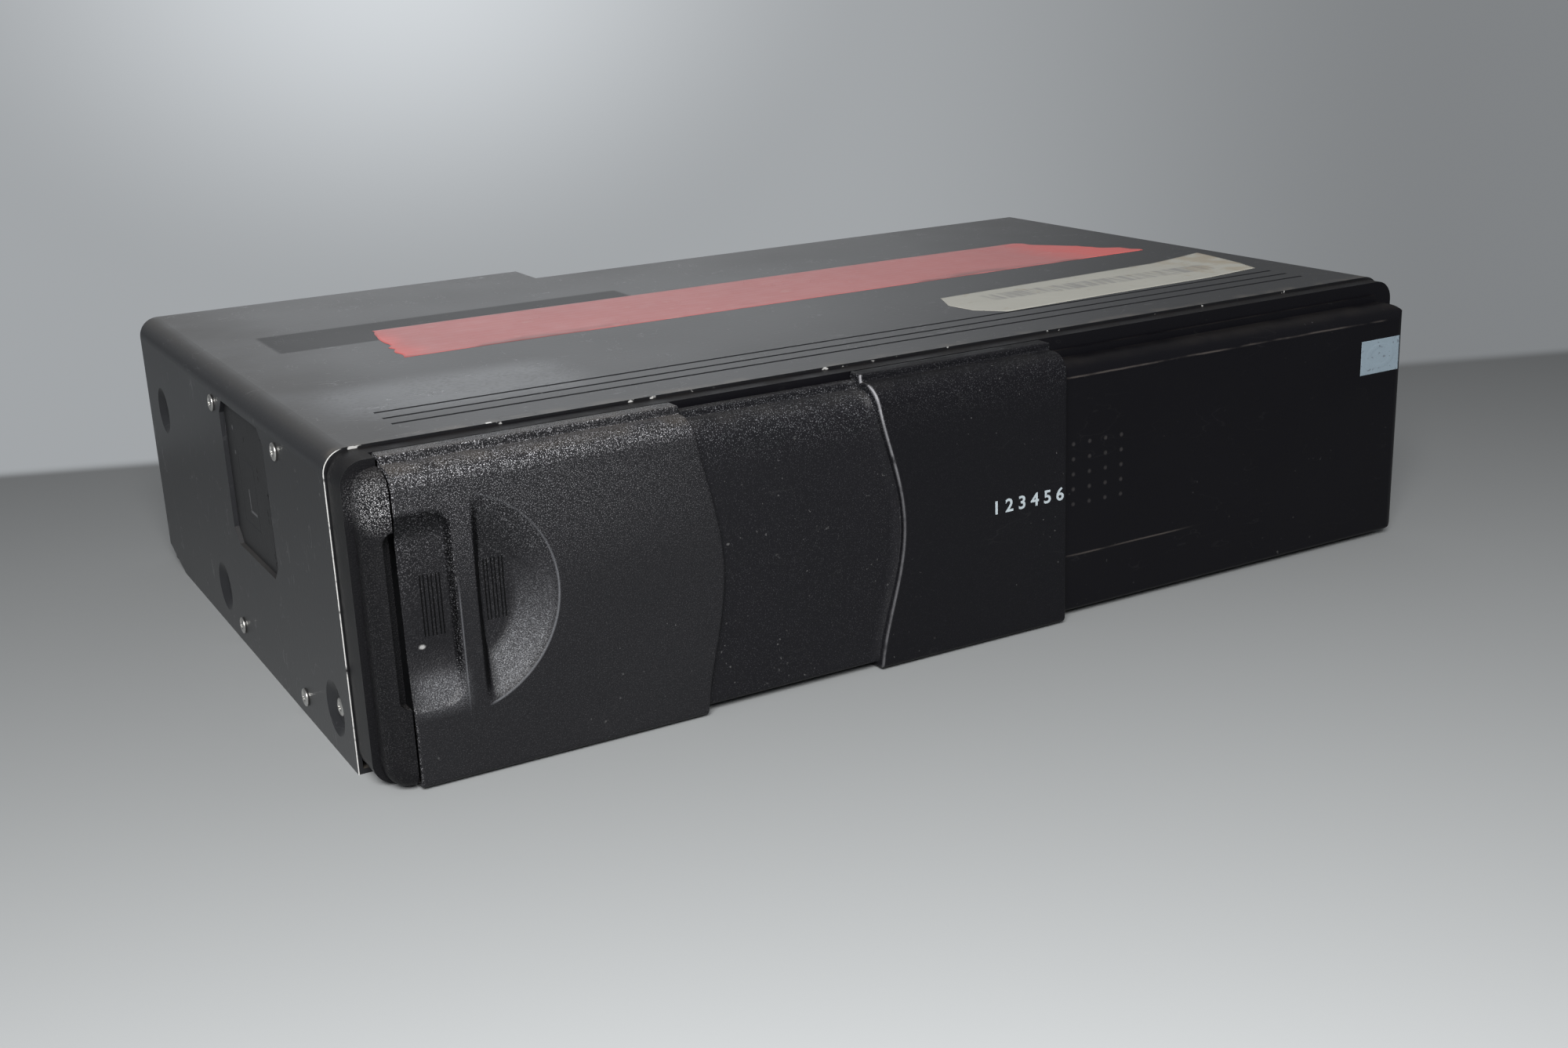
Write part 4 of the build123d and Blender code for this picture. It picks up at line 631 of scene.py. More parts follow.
# ---------------------------------------------------------------- finishes
def steel_paint(name):
    """Black satin paint on sheet steel: fine orange peel, thin scratches, dust and worn spots, bare cut edges."""
    f = Finish(name)
    x, y, z = f.place()
    ny, nz = f.facing()[1:]
    up = f.rise(nz, 0.5, 0.9)
    wide = f.noise(46.0, 4.0)
    cloud = f.noise(14.0, 5.0)
    fine = f.noise(0.9)
    marks = f.scratches(22.0, 0.006, (1, 0.35, 1)) | f.scratches(15.0, 0.005, (0.3, 1, 2))
    dust = 0.05 + f.rise(y, 10.0, REAR) * up * 0.10 + f.rise(x, LEFT + 34.0, LEFT + 2.0) * up * 0.35
    dust = dust * (0.55 + f.rise(cloud * 0.6 + wide * 0.5, 0.38, 0.72) * 0.45) * up
    edge_dust = f.rise(y, FRONT + 4.0, FRONT + 0.4) * up * f.spots(5.0, 3.0, 0.35, 0.7)
    rub = f.patch(x, y, (LEFT + 9, LEFT + 60, FRONT + 18, FRONT + 44), 7.0) * up
    rub = rub * f.rise(wide + fine * 0.5, 0.5, 0.85)
    residue = f.patch(x, y, (LEFT + 17, LEFT + 106, FRONT + 88, FRONT + 109), 0.6) * up
    slot = f.patch(x, y, (LEFT + 33.5, LEFT + 41, FRONT + 1.0, FRONT + 3.3), 0.15)
    slot = slot - f.patch(x, y, (LEFT + 34.0, LEFT + 40.5, FRONT + 1.5, FRONT + 2.8), 0.15)
    tick = f.patch(x, y, (LEFT + 30.4, LEFT + 31.5, FRONT + 0.0, FRONT + 0.7), 0.1)
    ahead = f.rise(ny, -0.6, -0.9) * f.rise(y, FRONT + 0.3, FRONT + 0.1)
    corner_x = ((LEFT + COVER_CORNER) - x) | 0.0
    corner_z = (z - (TOP - COVER_CORNER)) | 0.0
    from_skin = COVER_CORNER - (corner_x * corner_x + corner_z * corner_z) ** 0.5
    thin = f.rise(from_skin, 0.24, 0.14) * f.rise(x, LEFT + COVER_CORNER - 0.5, LEFT + 2.5)
    thin = thin * (f.spots(5.0, 3.0, 0.30, 0.46, (1, 1, 0.5)) * 0.8)
    flecks = f.spots(2.2, 2.0, 0.66, 0.72) * f.rise(TOP - z, 1.0, 0.6)
    colour = f.layers(
        f.blend(wide, (0.0125, 0.013, 0.0150), (0.019, 0.0198, 0.0225)),
        (dust * 0.55, (0.105, 0.097, 0.086)),
        (rub * 0.5, (0.075, 0.08, 0.09)),
        (residue * 0.7, (0.006, 0.006, 0.007)),
        (f.spots(1.6, 2.0, 0.7, 0.78) * 0.35, 0.16),
        (marks * 0.16, (0.12, 0.12, 0.125)),
        (edge_dust * 0.5, (0.12, 0.105, 0.088)),
        ((slot | 0.0) * up * 0.85, 0.004),
        (ahead * (1 - thin) * 0.7, (0.004, 0.004, 0.005)),
        (ahead * (thin | flecks * 0.6) | tick * up, (0.80, 0.80, 0.79)),
    )
    rough = 0.33 + wide * 0.05 + dust * 0.25 - rub * 0.07 + residue * 0.09 - marks * 0.08
    return f.close(colour, rough, f.bump(fine * 0.35 + marks * -0.4 + cloud * 0.3, 0.05))


def outer_door_finish(name, sparkle):
    """Moulded plastic with a fine spark-eroded grain: packed cells bent by noise, tiny bright facet glints, thin wear;
    the glints are painted brighter as highlight towards the upper left and where the surface faces the light.

    The grips' relief, painted highlight on their lit flanks and brims, painted shade darkening their hollows, and the
    engraved lines lie over it."""
    grain = 0.34
    f = Finish(name)
    x, z = f.place()[::2]
    nx, ny, nz = f.facing()
    wide = f.noise(30.0, 4.0)
    # Painted highlight: lit marks where the surface faces the key light and upper marks the door's upper left; both
    # brighten the facet glints.
    lit = f.rise(nz * 0.8 - nx * 0.55 - ny * 0.3, 0.36, 0.75)
    upper = f.rise(z, 30.0, 55.0) * f.rise(x, LEFT + 100.0, LEFT + 12.0)
    facet_glints = f.spots(grain * 0.5, 0.0, 0.55, 0.80) * (0.10 + upper * 0.75 + lit)
    wear = f.scratches(18.0, 0.006, (1, 1, 0.4))
    specks = f.spots(0.9, 1.0, 0.76, 0.8) * f.rise(wide, 0.4, 0.7)
    ledge = f.rise(nz, 0.6, 0.95) * f.spots(7.0, 4.0, 0.3, 0.7)
    ahead = f.rise(ny, -0.3, -0.6)
    square_on = f.rise(ny, -0.4, -0.7)
    from_arc = inside_bow(x, z)
    # Painted highlight: the bow's lower right slope and the bar's foot, which face the light, are lightened as glint.
    slope = f.between(from_arc, 0.6, 7.8, 0.9)
    slope = slope * f.rise(x, LEFT + 22.0, LEFT + 24.0) * f.rise(z, 42.0, 19.0)
    foot = f.patch(x, z, (LEFT + 8.5, LEFT + 17.2, 14.9, 21.0), 2.2)
    glint = (slope | foot) * ahead
    # Painted shade: the inside of both grips is darkened towards near-black.
    grip_shade = f.rise(from_arc, 0.5, 6.0) * f.rise(x, LEFT + 21.5, LEFT + 22.5) * f.rise(z, 24.0, 40.0)
    grip_shade = grip_shade | f.patch(x, z, (LEFT + 7.5, LEFT + 17.2, 24.0, 50.5), 2.5)
    # Painted highlight: a thin bright line along the bow's arc and the bar's right wall, stronger lower down on the
    # bow.
    brim_highlight = f.line(from_arc, -0.1, 0.12, 0.28) * f.rise(x, LEFT + 21.0, LEFT + 23.0)
    brim_highlight = brim_highlight * (0.08 + f.rise(z, 50.0, 30.0) * 0.22)
    brim_highlight = brim_highlight | f.line(x, LEFT + 17.65, 0.05, 0.2) * f.between(z, 15.5, 36.0, 4.0) * 0.2
    lines = engraved_lines(f, x, z, LEFT + 11.2, 28.3, 39.6) | engraved_lines(f, x, z, LEFT + 22.9, 28.9, 40.2)
    lines = lines * square_on
    chip = f.dot(x, z * 1.4, (LEFT + 10.4, 26.6 * 1.4), 0.5, 0.3) * square_on
    colour = f.layers(
        f.blend(wide, (0.0105, 0.0105, 0.0122), (0.0145, 0.0145, 0.0165)),
        (facet_glints * sparkle, (0.52, 0.52, 0.55)),
        (wear * 0.04, (0.12, 0.12, 0.125)),
        (specks * 0.25, 0.3),
        (ledge * 0.3, (0.12, 0.105, 0.09)),
        (grip_shade * ahead * 0.45, (0.004, 0.004, 0.005)),
        (brim_highlight * ahead, (0.34, 0.35, 0.38)),
        (glint * (0.06 + f.spots(grain * 0.55, 0.0, 0.45, 0.8) * 0.4), (0.42, 0.43, 0.46)),
        (lines * 0.9, 0.003),
        (chip * 0.85, 0.42),
    )
    height = f.cells(grain) * 0.6 + f.noise(grain * 0.8) * 0.4 - lines * 2.5
    normal = f.bump(height, 0.12, f.bump(grip_field(f, x, z), -GRIP_RELIEF))
    return f.close(colour, 0.42 + facet_glints * -0.1 + wear * 0.06, normal, specular=0.17)


def inside_bow(x, z):
    """How far a point lies inside the bow-shaped grip's circle, as a socket."""
    return BOW_RADIUS - ((x - BOW_CENTRE[0]) ** 2.0 + (z - BOW_CENTRE[1]) ** 2.0) ** 0.5


def grip_field(f, x, z):
    """Depth (0 to 1) of both finger grips, the same forms as bar_grip and bow_grip give the mesh."""
    dx = x - (BAR_RIGHT - BAR_CORNER)
    dz = abs(z - GRIP_MIDDLE) - (BAR_REACH - BAR_CORNER)
    over_x = dx | 0.0
    over_z = dz | 0.0
    inside = BAR_CORNER - (over_x * over_x + over_z * over_z) ** 0.5 - ((dx | dz) & 0.0)
    bar = f.rise(inside, 0.0, 1.6) * f.rise(z, 11.0, 27.0) * f.rise(z, 53.0, 46.5)
    bow = f.rise(x, LEFT + 20.8, LEFT + 22.4) * ((inside_bow(x, z) / 9.0) | 0.0) ** 0.85
    return bar | (bow & 1.0)


def engraved_lines(f, x, z, start, low, high):
    """Three pairs of thin upright lines from start on, cut to one height band."""
    places = [start + pair * 1.42 + half for pair in range(3) for half in (0.0, 0.62)]
    lines = f.line(x, places[0], 0.1, 0.09)
    for place in places[1:]:
        lines = lines | f.line(x, place, 0.1, 0.09)
    return lines * f.between(z, low, high, 0.15)


def front_finish(name):
    """The plastic front: grained column, smooth near-black fixed face with rub lines and faint dots, dusty ledge, and
    painted highlight on the column: a bright spot at its top and grain glints where it faces up and left.
    """
    f = Finish(name)
    x, y, z = f.place()
    nx, ny, nz = f.facing()
    column = f.rise(x, LEFT + 7.05, LEFT + 6.95)
    grained = column * (1 - f.rise(y, FRONT - 8.6, FRONT - 8.0))
    wide = f.noise(28.0, 4.0)
    # Painted highlight: a round bright spot at the top of the column, and the grain glints brightened where the
    # surface faces up and left.
    crest_highlight = f.dot(x, z, (LEFT + 5.0, 53.4), 3.6, 2.4) * 1.7
    facet_glints = f.spots(0.18, 0.0, 0.52, 0.80) * (0.06 + crest_highlight + f.rise(nz - nx * 0.5, 0.3, 0.8) * 0.3) * grained
    fixed = f.rise(ny, -0.5, -0.8) * f.rise(x, LEFT + 152.5, LEFT + 153.5)
    wander = f.noise(16.0) * 0.5 - 0.25
    rubs = f.line(z + wander, 53.0, 0.2, 0.2) * f.between(x, LEFT + 153.6, LEFT + 245, 2.0)
    rubs = rubs | f.line(z + wander, 14.0, 0.2, 0.2) * f.between(x, LEFT + 154, LEFT + 186, 7.0)
    rubs = rubs * f.spots(5.0, 4.0, 0.3, 0.62, (2.0, 1, 1)) * fixed
    across, up = DOT_STEP
    middle = (across / 2, up / 2)
    column_step = ((x - (DOT_START[0] - middle[0])) / across).math("FRACT")
    row_step = ((z - (DOT_START[1] - middle[1])) / up).math("FRACT")
    dots = f.dot(column_step * across, row_step * up, middle, 0.42, 0.2)
    dots = dots * f.patch(x, z, (LEFT + 153.6, LEFT + 169.4, 24.4, 40.0), 0.1) * fixed
    scuffs = f.scratches(20.0, 0.006, (1, 1, 0.3))
    specks = f.spots(1.1, 1.0, 0.75, 0.8) * f.rise(wide, 0.4, 0.7)
    ledge = f.rise(nz, 0.55, 0.95) * f.spots(9.0, 4.0, 0.25, 0.7)
    colour = f.layers(
        f.blend(wide, (0.0034, 0.0033, 0.0046), (0.0052, 0.0051, 0.0067)),
        (column, (0.0062, 0.0062, 0.0073)),
        (facet_glints * 0.55, (0.55, 0.55, 0.57)),
        (dots * (0.15 + f.noise(9.0) * 0.3), (0.075, 0.07, 0.07)),
        (rubs * 0.42, (0.12, 0.105, 0.095)),
        (scuffs * 0.02 + specks * 0.18, 0.2),
        (ledge * 0.05, (0.13, 0.11, 0.09)),
    )
    rough = 0.34 + grained * 0.14 + rubs * 0.3 + wide * 0.08 + ledge * 0.2
    height = (f.cells(0.34) * 0.6 + f.noise(0.3) * 0.4) * (grained * 0.85 + 0.15) - dots * 0.4
    return f.close(colour, rough, f.bump(height, 0.11), specular=0.13)


def inner_door_finish(name, rim_colour):
    """The inner door: satin band with dust, darker raised part, a light rim that follows the wave, partly wear and
    partly painted highlight, and grain glints painted brighter as highlight towards the top.
    """
    f = Finish(name)
    x, z = f.place()[::2]
    ny, nz = f.facing()[1:]
    reach = ((z - WAVE_MIDDLE) / WAVE_REACH * (math.pi / 2)).math("COSINE")
    past = x - (reach * reach * INNER_WAVE[1] + INNER_WAVE[0])
    # The light rim along the wave is partly wear and partly a painted highlight on the rounded edge, painted brighter
    # towards the top.
    rim = f.between(past, -0.02, 0.3, 0.14) * f.spots(3.0, 3.0, 0.2, 0.55) * f.rise(ny, -0.05, -0.3)
    rim_highlight_fade = f.rise(z, 30.0, 50.0) * 0.35 + f.rise(z, 50.0, 55.0) * 0.4 + 0.25
    raised = f.rise(past, 0.2, 0.8)
    wide = f.noise(24.0, 4.0)
    specks = f.spots(1.0, 2.0, 0.7, 0.76) * f.spots(16.0, 2.0, 0.42, 0.6)
    ledge = f.rise(nz, 0.5, 0.95) * f.spots(8.0, 4.0, 0.3, 0.65)
    # Painted highlight: bright grain glints, stronger towards the top and fainter on the raised part.
    glitter_highlight = f.spots(0.2, 0.0, 0.6, 0.82) * (f.rise(z, 46.0, 58.0) * 0.35 + 0.06) * (1 - raised * 0.7)
    colour = f.layers(
        f.blend(wide, (0.0068, 0.0068, 0.0085), (0.0092, 0.0092, 0.0112)),
        (raised, (0.0052, 0.0052, 0.0068)),
        (rim * rim_highlight_fade, rim_colour),
        (specks * 0.3, 0.24),
        (ledge * (0.14 - raised * 0.10), (0.11, 0.105, 0.10)),
        (f.scratches(24.0, 0.006, (1, 1, 0.5)) * 0.03, 0.15),
        (glitter_highlight, (0.4, 0.41, 0.44)),
    )
    height = f.cells(0.3) * 0.55 + f.noise(0.28) * 0.45
    return f.close(colour, 0.40 + wide * 0.1 + ledge * 0.2, f.bump(height, 0.06), specular=0.16)


def angle_plate_finish(name):
    """The angle plate: dark satin plastic with index holes, printed marks and a shallow slot beside the bar."""
    f = Finish(name)
    y, z = f.place()[1:]
    out = f.rise(abs(f.facing()[0]), 0.6, 0.9)
    wide = f.noise(12.0, 3.0)
    holes = f.dot(y, z, (FRONT + 53.2, 45.4), 0.55)
    for behind, height in ((53.2, 43.6), (48.3, 37.6), (48.3, 36.0), (46.8, 29.0), (46.8, 27.2), (61.4, 49.9)):
        holes = holes | f.dot(y, z, (FRONT + behind, height), 0.55)
    slot = f.patch(y, z, (FRONT + 56.0, FRONT + 68.5, 31.5, 46.0), 0.15)
    slot = slot - f.patch(y, z, (FRONT + 56.7, FRONT + 67.8, 32.2, 45.3), 0.15)
    mark = f.patch(y, z, (FRONT + 62.4, FRONT + 63.0, 35.0, 39.3), 0.1)
    mark = mark | f.patch(y, z, (FRONT + 58.2, FRONT + 62.9, 34.3, 34.9), 0.1)
    mark = mark | f.dot(y, z, (FRONT + 70.5, 50.8), 0.5) | f.dot(y, z, (FRONT + 70.5, 45.5), 0.45)
    colour = f.layers(
        f.blend(wide, (0.0095, 0.0098, 0.0112), (0.014, 0.0145, 0.016)),
        (holes * out * 0.9, 0.002),
        (mark * out * 0.6, (0.16, 0.16, 0.17)),
    )
    height = f.noise(0.5) * 0.25 - holes * 1.4 - (slot | 0.0) * 0.7
    return f.close(colour, 0.42 + wide * 0.12, f.bump(height, 0.2))


def tape_finish(name, middle, ends):
    """Adhesive tape: faded red with a fine cross weave, brighter torn ends, pale rubbed edges and creases."""
    f = Finish(name)
    x, y = f.place()[:2]
    cloud = f.noise(6.0, 4.0)
    weave = ((x / 0.55).math("SINE") * 0.5 + 0.5) * 0.5 + ((y / 0.45).math("SINE") * 0.5 + 0.5) * 0.5
    end = f.rise(x + cloud * 8.0, LEFT + 50, LEFT + 40) | f.rise(x + cloud * 10.0, LEFT + 214, LEFT + 236)
    smear = f.rise(y, FRONT + 72, FRONT + 67) * f.spots(9.0, 3.0, 0.5, 0.62, (3, 1, 1))
    colour = f.layers(
        f.blend(f.noise(30.0, 4.0), middle, tuple(1.14 * c + 0.02 for c in middle)),
        (end * 0.75, ends),
        (f.rise(cloud, 0.62, 0.75) * 0.3, (0.52, 0.36, 0.34)),
        (smear * 0.5, (0.06, 0.05, 0.05)),
    )
    creases = f.scratches(16.0, 0.01, (1, 0.5, 1))
    return f.close(colour, 0.36 + cloud * 0.15, f.bump(weave * 0.4 + cloud * 0.8 + creases, 0.07))


def label_finish(name, paper):
    """A worn paper label: cream paper with dirty patches, torn brown edges and one grey rubbed bar."""
    f = Finish(name)
    x, y = f.place()[:2]
    cloud = f.noise(3.0, 4.0)
    middle = (x - (LEFT + 169.0)) / 65.5 * -2.4 + (FRONT + 38.2)
    bar = f.between(x, LEFT + 169, LEFT + 234.5, 1.2) * f.rise(abs(y - middle), 4.0, 2.8)
    stain = f.rise(x, LEFT + 212, LEFT + 240) * f.spots(7.0, 3.0, 0.45, 0.62)
    colour = f.layers(
        f.blend(f.noise(18.0, 4.0), paper, tuple(c * 0.84 for c in paper)),
        (bar * f.spots(2.2, 3.0, 0.35, 0.62, (0.45, 5.0, 1)) * 0.62, (0.17, 0.17, 0.175)),
        (f.rise(cloud, 0.6, 0.72) * 0.35, (0.27, 0.22, 0.15)),
        (stain * 0.5, (0.30, 0.24, 0.16)),
    )
    return f.close(colour, 0.5 + cloud * 0.15, f.bump(cloud * 0.6 + f.noise(0.7) * 0.4, 0.06))


def printed_finish(name, ink):
    """Printed ink with small worn gaps."""
    f = Finish(name)
    f.place()
    shade = f.noise(3.0)
    colour = f.blend(shade, ink, tuple(c * 0.85 for c in ink))
    colour = f.blend(f.spots(0.9, 3.0, 0.62, 0.7) * 0.55, colour, (0.05, 0.05, 0.06))
    return f.close(colour, 0.45 + shade * 0.1, f.bump(f.noise(0.4, 1.0), 0.01))


def metal_finish(name, colour_low, colour_high, rough, grain=(6.0, EVEN), spangle=False):
    """Bare or plated metal: streaks or crystal patches in the plating, fine scratches and dull stains."""
    f = Finish(name)
    f.place()
    size, stretch = grain
    streak = f.noise(size, 4.0, stretch)
    stain = f.noise(17.0, 4.0)
    marks = f.scratches(11.0, 0.006)
    amount = streak
    if spangle:
        patches = f.cells(5.0, "Color")
        amount = f.node("ShaderNodeSeparateColor", None, {"Color": patches}) * 0.7 + streak * 0.3
    colour = f.layers(
        f.blend(amount, colour_low, colour_high),
        (f.rise(stain, 0.55, 0.75) * 0.3, tuple(c * 0.5 for c in colour_low)),
        (marks * 0.4, tuple(min(1.0, c * 1.3) for c in colour_high)),
    )
    return f.close(colour, rough + streak * 0.12 + stain * 0.06, f.bump(streak + marks * -0.5, 0.02), metallic=1.0)


def moulded_finish(name, colour_low, colour_high, rough, grain=0.5, depth=0.03):
    """Moulded plastic or rubber: cloudy colour, fine grain, flow marks and a few handling scuffs."""
    f = Finish(name)
    f.place()
    flow = f.noise(9.0, 2.0, (1, 4, 1))
    marks = f.scratches(13.0, 0.006)
    colour = f.blend(f.noise(20.0, 4.0) * 0.7 + flow * 0.3, colour_low, colour_high)
    colour = f.blend(marks * 0.25, colour, tuple(min(1.0, c * 1.6 + 0.04) for c in colour_high))
    return f.close(colour, rough + flow * 0.08 + marks * 0.05, f.bump(f.noise(grain) + flow * 0.3, depth))


def board_finish(name):
    """Circuit board: green mask over darker copper paths that run straight and turn square, with bright pads."""
    f = Finish(name)
    x, y = f.place()[:2]
    wide = f.noise(20.0, 3.0)
    pitch = 2.54
    across = f.line((x / pitch).math("FRACT"), 0.5, 0.34, 0.06) * f.spots(11.0, 0.0, 0.49, 0.52, (1, 3, 1))
    along = f.line((y / pitch).math("FRACT"), 0.5, 0.34, 0.06) * f.spots(13.0, 0.0, 0.52, 0.55, (3, 1, 1))
    pads = f.dot((x / (2 * pitch)).math("FRACT"), (y / (2 * pitch)).math("FRACT"), (0.5, 0.5), 0.13, 0.03)
    pads = pads * f.spots(8.0, 0.0, 0.5, 0.53)
    paths = across | along
    colour = f.layers(
        f.blend(wide, (0.010, 0.060, 0.028), (0.014, 0.080, 0.038)),
        (paths, (0.024, 0.125, 0.055)),
        (pads, (0.55, 0.53, 0.47)),
    )
    return f.close(colour, 0.35 - pads * 0.1 + wide * 0.1, f.bump(paths + pads, 0.04))


def chip_finish(name):
    """Moulded chip: matt black epoxy with paler clouds and a fine grain."""
    f = Finish(name)
    f.place()
    wide = f.noise(7.0, 3.0)
    colour = f.blend(wide, (0.018, 0.018, 0.019), (0.035, 0.035, 0.036))
    return f.close(colour, 0.55 + wide * 0.15, f.bump(f.noise(0.25), 0.02))


def lens_finish(name):
    """Coated glass lens: deep blue-violet sheen that changes towards its rim."""
    f = Finish(name)
    f.place()
    edge = f.node("ShaderNodeLayerWeight", None, {"Blend": 0.4}, "Facing")
    haze = f.noise(0.8)
    colour = f.blend(edge, (0.05, 0.03, 0.22), (0.25, 0.12, 0.35))
    return f.close(colour, 0.05 + haze * 0.06, f.bump(haze, 0.002), specular=0.8)


# What each material slot of the record gets on the CAD nodes that stay: a maker and what it is given.
CAD_FINISHES = {
    "case_steel": (steel_paint, "black_steel_paint"),
    "front_plastic": (front_finish, "front_plastic_grain"),
    "door_plastic": (moulded_finish, "door_plastic_inside", (0.012, 0.012, 0.014), (0.018, 0.018, 0.02), 0.45),
    "screw_zinc": (metal_finish, "zinc_plating", (0.50, 0.50, 0.49), (0.66, 0.66, 0.64), 0.28),
    "plate_plastic": (angle_plate_finish, "angle_plate_plastic"),
    "frame_steel": (metal_finish, "galvanised_steel", (0.42, 0.43, 0.44), (0.60, 0.61, 0.62), 0.34, (6.0, EVEN), True),
    "damper_rubber": (moulded_finish, "damper_rubber", (0.016, 0.016, 0.017), (0.03, 0.03, 0.03), 0.68, 0.8, 0.05),
    "spring_steel": (metal_finish, "spring_wire", (0.40, 0.40, 0.41), (0.58, 0.58, 0.58), 0.25),
    "board_green": (board_finish, "circuit_board"),
    "chip_epoxy": (chip_finish, "chip_epoxy"),
    "contact_brass": (metal_finish, "contact_gilding", (0.75, 0.55, 0.22), (0.85, 0.66, 0.30), 0.2),
    "magazine_plastic": (moulded_finish, "magazine_plastic", (0.020, 0.021, 0.024), (0.032, 0.033, 0.037), 0.38),
    "tray_plastic": (moulded_finish, "tray_plastic", (0.040, 0.042, 0.046), (0.060, 0.062, 0.066), 0.42, 0.35),
    "motor_can": (metal_finish, "motor_can", (0.52, 0.52, 0.51), (0.70, 0.70, 0.68), 0.26, (3.0, (6, 0.5, 6))),
    "gear_plastic": (moulded_finish, "white_gear_plastic", (0.70, 0.69, 0.65), (0.78, 0.77, 0.73), 0.36, 0.4, 0.015),
    "lens_glass": (lens_finish, "pickup_lens_glass"),
}


def dress(piece, material):
    """Gives every material slot of a piece the same finish."""
    if not piece.material_slots:
        piece.data.materials.append(material)
    for slot in piece.material_slots:
        slot.material = material


# ---------------------------------------------------------------- settings
def number(name, description, default, low=0.0, high=1.0, **more):
    """A number for the panel."""
    return bpy.props.FloatProperty(name=name, description=description, default=default, min=low, max=high, **more)


def tint(name, description, default):
    """A colour for the panel."""
    return bpy.props.FloatVectorProperty(
        name=name, description=description, default=default, subtype="COLOR", size=3, min=0, max=1
    )


class DoorSettings(bpy.types.PropertyGroup):
    grip_depth: number("Grip depth (mm)", "Depth of the finger grips in the outer door", 1.3, 0.2, 1.35)
    rim_depth: number("Rim (mm)", "Height of the worn rim along the inner door's wave", 0.05, 0.0, 0.3)
    # The rim's colour is partly wear and partly painted highlight.
    rim_colour: tint("Worn rim", "Colour of the worn rim", (0.30, 0.30, 0.32))
    # Sparkle scales the outer door's bright facet glints, which are partly grain and partly painted highlight.
    sparkle: number("Sparkle", "Strength of the bright facets in the grain", 0.55, subtype="FACTOR")


class MarkSettings(bpy.types.PropertyGroup):
    numbers: bpy.props.StringProperty(
        name="Numbers", description="Plain numbers printed at the inner door's right edge", default="1 2 3 4 5 6"
    )
    ink: tint("Ink", "Colour of the printed numbers", (0.44, 0.50, 0.54))
    badge: tint("Badge", "Colour of the plain ring badge", (0.22, 0.28, 0.33))
    tape: tint("Tape", "Colour of the faded tape", (0.40, 0.135, 0.135))
    tape_end: tint("Tape ends", "Colour of the tape's torn ends", (0.66, 0.11, 0.10))
    paper: tint("Label", "Colour of the paper label", (0.42, 0.415, 0.375))


class StageSettings(bpy.types.PropertyGroup):
    key_power: number("Key light", "Power of the large light over the camera's left", 14.0, 0.0, 1000.0, unit="POWER")
    ambient: number("Ambient", "Level of the even light", 0.20, 0.0, 2.0)
    glow: number("Glow", "Level of the bright wall above the view", 0.95, 0.0, 5.0)


# ---------------------------------------------------------------- operators
class BuildDoors(bpy.types.Operator):
    """Build the two sliding doors with rounded edges and pressed grips"""

    bl_idname = "disc_changer.build_doors"
    bl_label = "Sliding doors"

    def execute(self, context):
        settings = context.scene.disc_changer_doors
        outer = lay_mesh("outer_door", *shell(*outer_door_grids(settings.grip_depth)))
        dress(outer, outer_door_finish("outer_door_grain", settings.sparkle))
        carry(outer, "door_outer", "door_plastic", "door_outer")
        inner = lay_mesh("inner_door", *shell(*inner_door_grids(settings.rim_depth)))
        dress(inner, inner_door_finish("inner_door_satin", tuple(settings.rim_colour)))
        carry(inner, "door_inner", "door_plastic", "door_inner")
        return {"FINISHED"}


class BuildMarks(bpy.types.Operator):
    """Build the printed numbers on the inner door and the plain ring badge on the fixed face"""

    bl_idname = "disc_changer.build_marks"
    bl_label = "Numbers and badge"

    def execute(self, context):
        settings = context.scene.disc_changer_marks
        raised_face = FACE + context.scene.disc_changer_doors.rim_depth
        across, up = (LEFT + 132.6, LEFT + 150.2), (28.0, 30.9)
        numbers = printed_text("door_numbers", settings.numbers, across, up, raised_face - 0.03)
        dress(numbers, printed_finish("white_print", tuple(settings.ink)))
        carry(numbers, "door_inner", "door_plastic")
        badge = lay_mesh("ring_badge", *ring_mark(LEFT + 244.7, 44.8, FACE + FIXED_INSET, (12.2, 8.0), 0.06))
        dress(badge, printed_finish("badge_print", tuple(settings.badge)))
        carry(badge, "case", "front_plastic")
        return {"FINISHED"}


